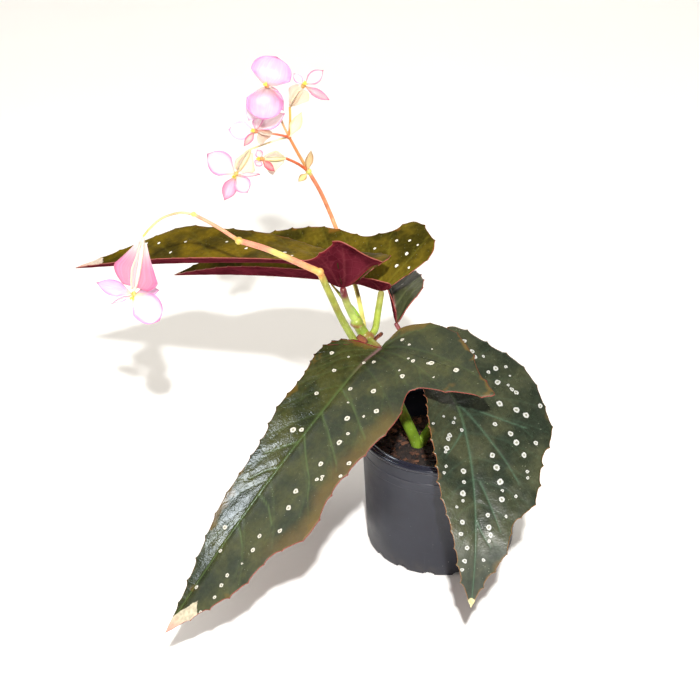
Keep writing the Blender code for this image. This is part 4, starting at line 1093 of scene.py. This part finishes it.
def wing(base, mouth, body, angle, width, peak, look):
    """One papery wing of an ovary, with its outline rounded from the CAD wing's."""
    rows, columns = 22, 10
    reach = mouth - base
    axis = unit(reach)
    out = sideways(axis, OUT, angle)
    normal = np.cross(axis, out)
    seed = RNG.uniform(0, 50)
    inner = body * 0.2
    points, coords = [], []
    for i in range(rows + 1):
        t = 0.1 + 0.82 * i / rows
        spread = (t / peak) ** 1.3 if t < peak else 1 - 0.9 * ((t - peak) / (1 - peak)) ** 2
        outer = body * 0.8 + width * max(spread, 0.05)
        for s in np.arange(columns + 1) / columns:
            wave = 0.45 * s * noise.noise(Vector((seed, t * 5, s * 2)))
            points.append(base + reach * t + out * (inner + (outer - inner) * s) + normal * wave)
            coords.append((s, t * 0.6, seed))
    return petal_mesh("wing", points, grid_faces(rows + 1, columns + 1), coords, look)


def spindle(name, base, mouth, body, look):
    """A pointed body, very slightly three-sided."""
    verts, faces = sphere(30, 20, 1)
    axis = Vector(mouth) - Vector(base)
    turned = np.array(axis.to_track_quat("Z", "Y").to_matrix())
    angle = np.arctan2(verts[:, 1], verts[:, 0])
    bulge = body * (1 + 0.1 * np.cos(3 * angle))
    sizes = np.column_stack([bulge, bulge, np.full(len(verts), axis.length / 2)])
    coords = np.column_stack([angle / 3, 0.2 + 0.175 * (verts[:, 2] + 1), np.ones(len(verts))])
    return petal_mesh(name, (verts * sizes) @ turned.T + (mouth + base) / 2, faces, coords, look)


def thickened(name, mesh, thickness):
    obj = put(name, mesh)
    thicken(obj, thickness)
    return applied(obj)


def merged(name, objects, material):
    """Joins the objects' meshes into the first, under one material."""
    first = objects[0]
    with bpy.context.temp_override(active_object=first, object=first, selected_objects=objects,
                                   selected_editable_objects=objects):
        bpy.ops.object.join()
    first.name = name
    first.data.materials.clear()
    first.data.materials.append(material)
    first.data.shade_smooth()
    return first


def make_bloom(name, bloom):
    base, mouth = np.array(bloom["stalk"][-1], float), np.array(bloom["mouth"], float)
    axis = unit(mouth - base)
    body, ovary, foot_colour = bloom["body"], bloom["ovary"], bloom["foot"]
    pieces = [put("body", spindle("body", base, mouth, body, (ovary, ovary, foot_colour)))]
    for angle, width, peak, middle, edge in bloom["wings"]:
        mesh = wing(base, mouth, body, angle, width, peak, (middle, edge, ovary))
        pieces.append(thickened("wing", mesh, 0.45))
    finish_piece(merged(name + "_winged", pieces, TEPAL_SKIN), "ovary", name + "_ovary")

    centre = mouth + unit(axis + OUT * 0.6) * (SEAT + 0.66)
    pieces = [put("seat", spindle("seat", centre - axis * 2.3, centre + axis * SEAT, SEAT,
                                  (foot_colour,) * 3))]
    for right, rise, out, width, cup, twist, middle, edge in bloom["tepals"]:
        reach = RIGHT * right + RISE * rise + OUT * out
        mesh = petal("tepal", centre + unit(reach) * 0.45, mouth + reach, width, cup, twist, OUT,
                     (middle, edge, foot_colour), rounded=width > 5)
        pieces.append(thickened("tepal", mesh, 0.4))
    finish_piece(merged(name + "_petals", pieces, TEPAL_SKIN), "tepal", name + "_tepals")

    ahead = unit(OUT + axis * 0.7)
    make_heart(name, centre + ahead * (SEAT + 2.26), ahead)


def make_heart(name, centre, ahead):
    """Three forked, twisted yellow stigmas, their feet together and their tips apart."""
    side = unit(np.cross(ahead, (0.2, 0.1, 1)))
    other = np.cross(ahead, side)
    parts = [ball_parts(centre - ahead * 0.9, 0.95, STIGMA_FOOT)]
    stops = ((0, STIGMA_FOOT), (0.6, STIGMA), (1, (240, 222, 100)))
    for k in range(6):
        angle = math.pi * k / 3 + (0.25 if k % 2 else -0.1)
        points = []
        for t in np.arange(6) / 5:
            bend = angle + 1.1 * t
            spread = 1.28 * math.sin(math.pi * 0.55 * t)
            points.append(centre + side * spread * math.cos(bend) + other * spread * math.sin(bend)
                          + ahead * (-1.3 + 2.2 * t - 0.5 * t * t))
        parts.append(tube_parts(points, 0.42, 0.38, stops, sides=8, steps=4))
    obj = fused(name + "_stigmas", parts, 0.13, 1)
    obj.data.materials.append(HEART_SKIN)
    finish_piece(obj, "heart", name + "_heart")


def make_scale(name, foot, tip, width, facing, middle, edge):
    mesh = petal(name + "_sheet", foot, tip, width, 0.9, 0, facing, (middle, edge, edge),
                 rounded=False)
    obj = thickened(name + "_sheet", mesh, 0.3)
    obj.data.materials.append(SCALE_SKIN)
    obj.data.shade_smooth()
    finish_piece(obj, "scale" if name.startswith("stipule") else "bract", name)


# Pot and soil

def wall_at(height):
    """The wall's outer radius."""
    return POT_BASE + (POT_RIM - 1.3 - POT_BASE) / BAND * height


def pot_profile():
    """Half section of the pot: up its inside, over the lip and down its outside."""
    inner = [(0, FLOOR), (30, FLOOR), (POT_BASE - 2.5, FLOOR), (POT_BASE - 1.7, 3),
             (POT_BASE - 1.5, 4)]
    inner += [(wall_at(h) - POT_WALL, h) for h in (20, 40, 60, 72, 81)]
    rim = [(POT_RIM - inset, h) for inset, h in (
        (4.6, 85.4), (4.9, 86.8), (4.7, 87.6), (4.1, 88), (3.3, 87.9), (2.4, 87.1), (1.9, 86.95),
        (1.4, 86.93), (0.8, 86.7), (0.3, 86.2), (0.05, 85.5), (0, 84.9), (0.15, 84.3), (0.5, 83.8),
        (1.35, 83.5), (1.5, 83.1), (1.2, 82.7))]
    wall = [(wall_at(h) - 0.05, h) for h in (BAND, 78, 75.6)]
    wall += [(wall_at(LINE) + proud, LINE + up) for proud, up in
             ((0.2, 0.3), (0.2, -0.3), (-0.1, -0.7))]
    wall += [(wall_at(h) - 0.05, h) for h in (72, STEP + 1)]
    wall += [(wall_at(STEP) - inset, STEP + up) for inset, up in
             ((0.05, 0.4), (0.3, 0.1), (0.42, -0.4))]
    wall += [(wall_at(h) - 0.42 * h / STEP, h) for h in (60, 48, 36, 24, 12, 5, 2.2)]
    foot = [(POT_BASE - inset, h) for inset, h in ((0.1, 1.2), (0.4, 0.5), (1.2, 0.05), (3, 0))]
    return inner + rim + wall + foot + [(30, 0), (10, 0), (0, 0)]


def pot_mesh(turns=176):
    profile = pot_profile()
    angle = np.linspace(0, 2 * math.pi, turns, endpoint=False)
    verts = [(r * math.cos(a), r * math.sin(a), h) for r, h in profile for a in angle]
    mesh = mesh_from("pot", verts, grid_faces(len(profile), turns, closed=True, flipped=True))
    welded(mesh, 0.005, outward=True)
    return mesh


def notch_cutter():
    """Arched drain notches round the pot's bottom corner."""
    bm = bmesh.new()
    for k in range(NOTCHES):
        turn = Matrix.Rotation(2 * math.pi * (k + 0.5) / NOTCHES, 4, "Z")
        made = bmesh.ops.create_cone(bm, cap_ends=True, segments=32, radius1=NOTCH_RADIUS,
                                     radius2=NOTCH_RADIUS, depth=9)["verts"]
        for vert in made:
            x, y, z = vert.co
            vert.co = turn @ Vector((POT_BASE - 0.5 + z, y, x * 0.8)) * MM
    bmesh.ops.recalc_face_normals(bm, faces=bm.faces)
    mesh = bpy.data.meshes.new("notches")
    bm.to_mesh(mesh)
    bm.free()
    return put("notches", mesh)


def make_pot():
    pot, notches = put("pot_body", pot_mesh()), notch_cutter()
    cut = pot.modifiers.new("Notches", "BOOLEAN")
    cut.operation = "DIFFERENCE"
    cut.solver = "EXACT"
    cut.object = notches
    applied(pot)
    bpy.data.objects.remove(notches, do_unlink=True)
    pot.data.materials.clear()
    pot.data.materials.append(pot_material())
    pot.data.shade_smooth()
    pot.data.set_sharp_from_angle(angle=math.radians(34))
    finish_piece(pot, "pot", "pot")


def soil_height(x, y):
    place = Vector((x, y, 0)) / 11
    return SOIL_TOP + 2.2 * noise.noise(place) + 0.9 * noise.noise(place * 2.7)


def soil_bed(radius, rings=40, spokes=120):
    """The bumpy top of the mix, with a skirt that goes down inside the pot."""
    verts = [(0, 0, soil_height(0, 0))]
    for k in range(1, rings + 1):
        for j in range(spokes):
            angle = 2 * math.pi * j / spokes
            x, y = radius * k / rings * math.cos(angle), radius * k / rings * math.sin(angle)
            grain = 0.7 * noise.noise(Vector((x * 0.6, y * 0.6, 4)))
            verts.append((x, y, soil_height(x, y) + grain - (2.5 if k == rings else 0)))
    verts += [(x * 0.97, y * 0.97, 20) for x, y, _ in verts[-spokes:]]
    faces = [(0, 1 + j, 1 + (j + 1) % spokes) for j in range(spokes)]
    faces += grid_faces(rings + 1, spokes, closed=True, flipped=True, first=1)
    return np.array(verts, float), faces, tinted((36, 25, 20), len(verts))


def chip(size, seed):
    """One split bark chip: a flattened, knobbly block."""
    bm = bmesh.new()
    bmesh.ops.create_cube(bm, size=1)
    bmesh.ops.bevel(bm, geom=bm.edges[:], offset=0.16, segments=1, affect="EDGES")
    bmesh.ops.subdivide_edges(bm, edges=bm.edges[:], cuts=1, use_grid_fill=True)
    verts, faces = taken(bm)
    push = [1 + 0.35 * noise.noise(Vector(v) * 2.1 + Vector((seed, 0, 0))) for v in verts]
    return verts * np.outer(push, (1.7, 1, 0.55)) * size, faces


def make_soil():
    limit = wall_at(64) - POT_WALL
    parts = [soil_bed(limit - 0.4)]
    for k in range(620):
        size = RNG.uniform(1.1, 3.4)
        radius, angle = (limit - size * 1.1) * math.sqrt(RNG.uniform()), RNG.uniform(0, 2 * math.pi)
        x, y = radius * math.cos(angle), radius * math.sin(angle)
        if math.dist((x, y), CROWN) <= 7.5:
            continue
        shape, faces = chip(size, k * 1.7)
        turn = Matrix.Rotation(RNG.uniform(0, 6.28), 3, "Z") @ Matrix.Rotation(
            RNG.normal(0, 0.4), 3, "X") @ Matrix.Rotation(RNG.normal(0, 0.35), 3, "Y")
        at = (x, y, soil_height(x, y) + RNG.uniform(-0.2, 0.8))
        tint = tinted(BARK[k % len(BARK)], len(shape))
        parts.append((shape @ np.array(turn).T + at, faces, tint))
    verts, faces, tints = stacked(parts)
    obj = put("bark_mix", mesh_from("bark_mix", verts, faces))
    set_attribute(obj.data, "tint", tints)
    obj.data.materials.append(soil_material())
    finish_piece(obj, "soil", "soil")


# Stage

def make_stage():
    """A pale floor that sweeps up behind."""
    sweep = [(1600 + 700 * math.sin(a), 700 - 700 * math.cos(a))
             for a in np.linspace(0, math.pi / 2, 17)]
    profile = [(-3000, 0), *sweep, (2300, 3200)]
    points = [(x, y, z) for y, z in profile for x in (-4000, 4000)]
    floor = put("floor", mesh_from("floor", points, grid_faces(len(profile), 2)))
    floor.data.materials.append(stage_material())
    floor.data.shade_smooth()


def make_light():
    for name, at, aim, size, power, colour, unlit in LIGHTS:
        light = bpy.data.lights.new(name, "AREA")
        light.shape = "DISK"
        light.size = size
        light.energy = power
        light.color = colour
        obj = put(name, light)
        obj.location = at
        obj.rotation_euler = (Vector(aim) - Vector(at)).to_track_quat("-Z", "Y").to_euler()
        if unlit:
            setattr(obj, "visible_" + unlit, False)
    world = bpy.data.worlds.new("studio")
    world.use_nodes = True
    sky = world.node_tree.nodes["Background"]
    sky.inputs["Color"].default_value = (1, 0.96, 0.9, 1)
    sky.inputs["Strength"].default_value = 0.19
    bpy.context.scene.world = world
    bpy.context.scene.view_settings.view_transform = "Standard"


def make_camera():
    camera = bpy.data.cameras.new("camera")
    camera.lens = 77.14
    camera.sensor_width = 36
    obj = put("camera", camera)
    obj.location = (-0.0633, -0.8741, 0.6108)
    obj.rotation_euler = (math.radians(62), 0, 0)
    bpy.context.scene.camera = obj


TEPAL_SKIN = tepal_material()
SCALE_SKIN = scale_material()
HEART_SKIN = heart_material()
STALK_SKIN = stalk_material("stalk_skin", 0.38, 420.0)

make_pot()
make_soil()
make_canes()
make_stalk("lower_stalk_skin", "stalk_lower", LOWER_STALK, LOWER_JOINTS)
make_stalk("upper_stalk_skin", "stalk_upper", UPPER_STALK, UPPER_JOINTS)
for leaf_name, look in LOOKS.items():
    make_leaf(leaf_name, look)
for bloom_name, bloom in BLOOMS.items():
    make_bloom(bloom_name, bloom)
for scale_name, values in SCALES.items():
    make_scale(scale_name, *values)
make_stage()
make_light()
make_camera()
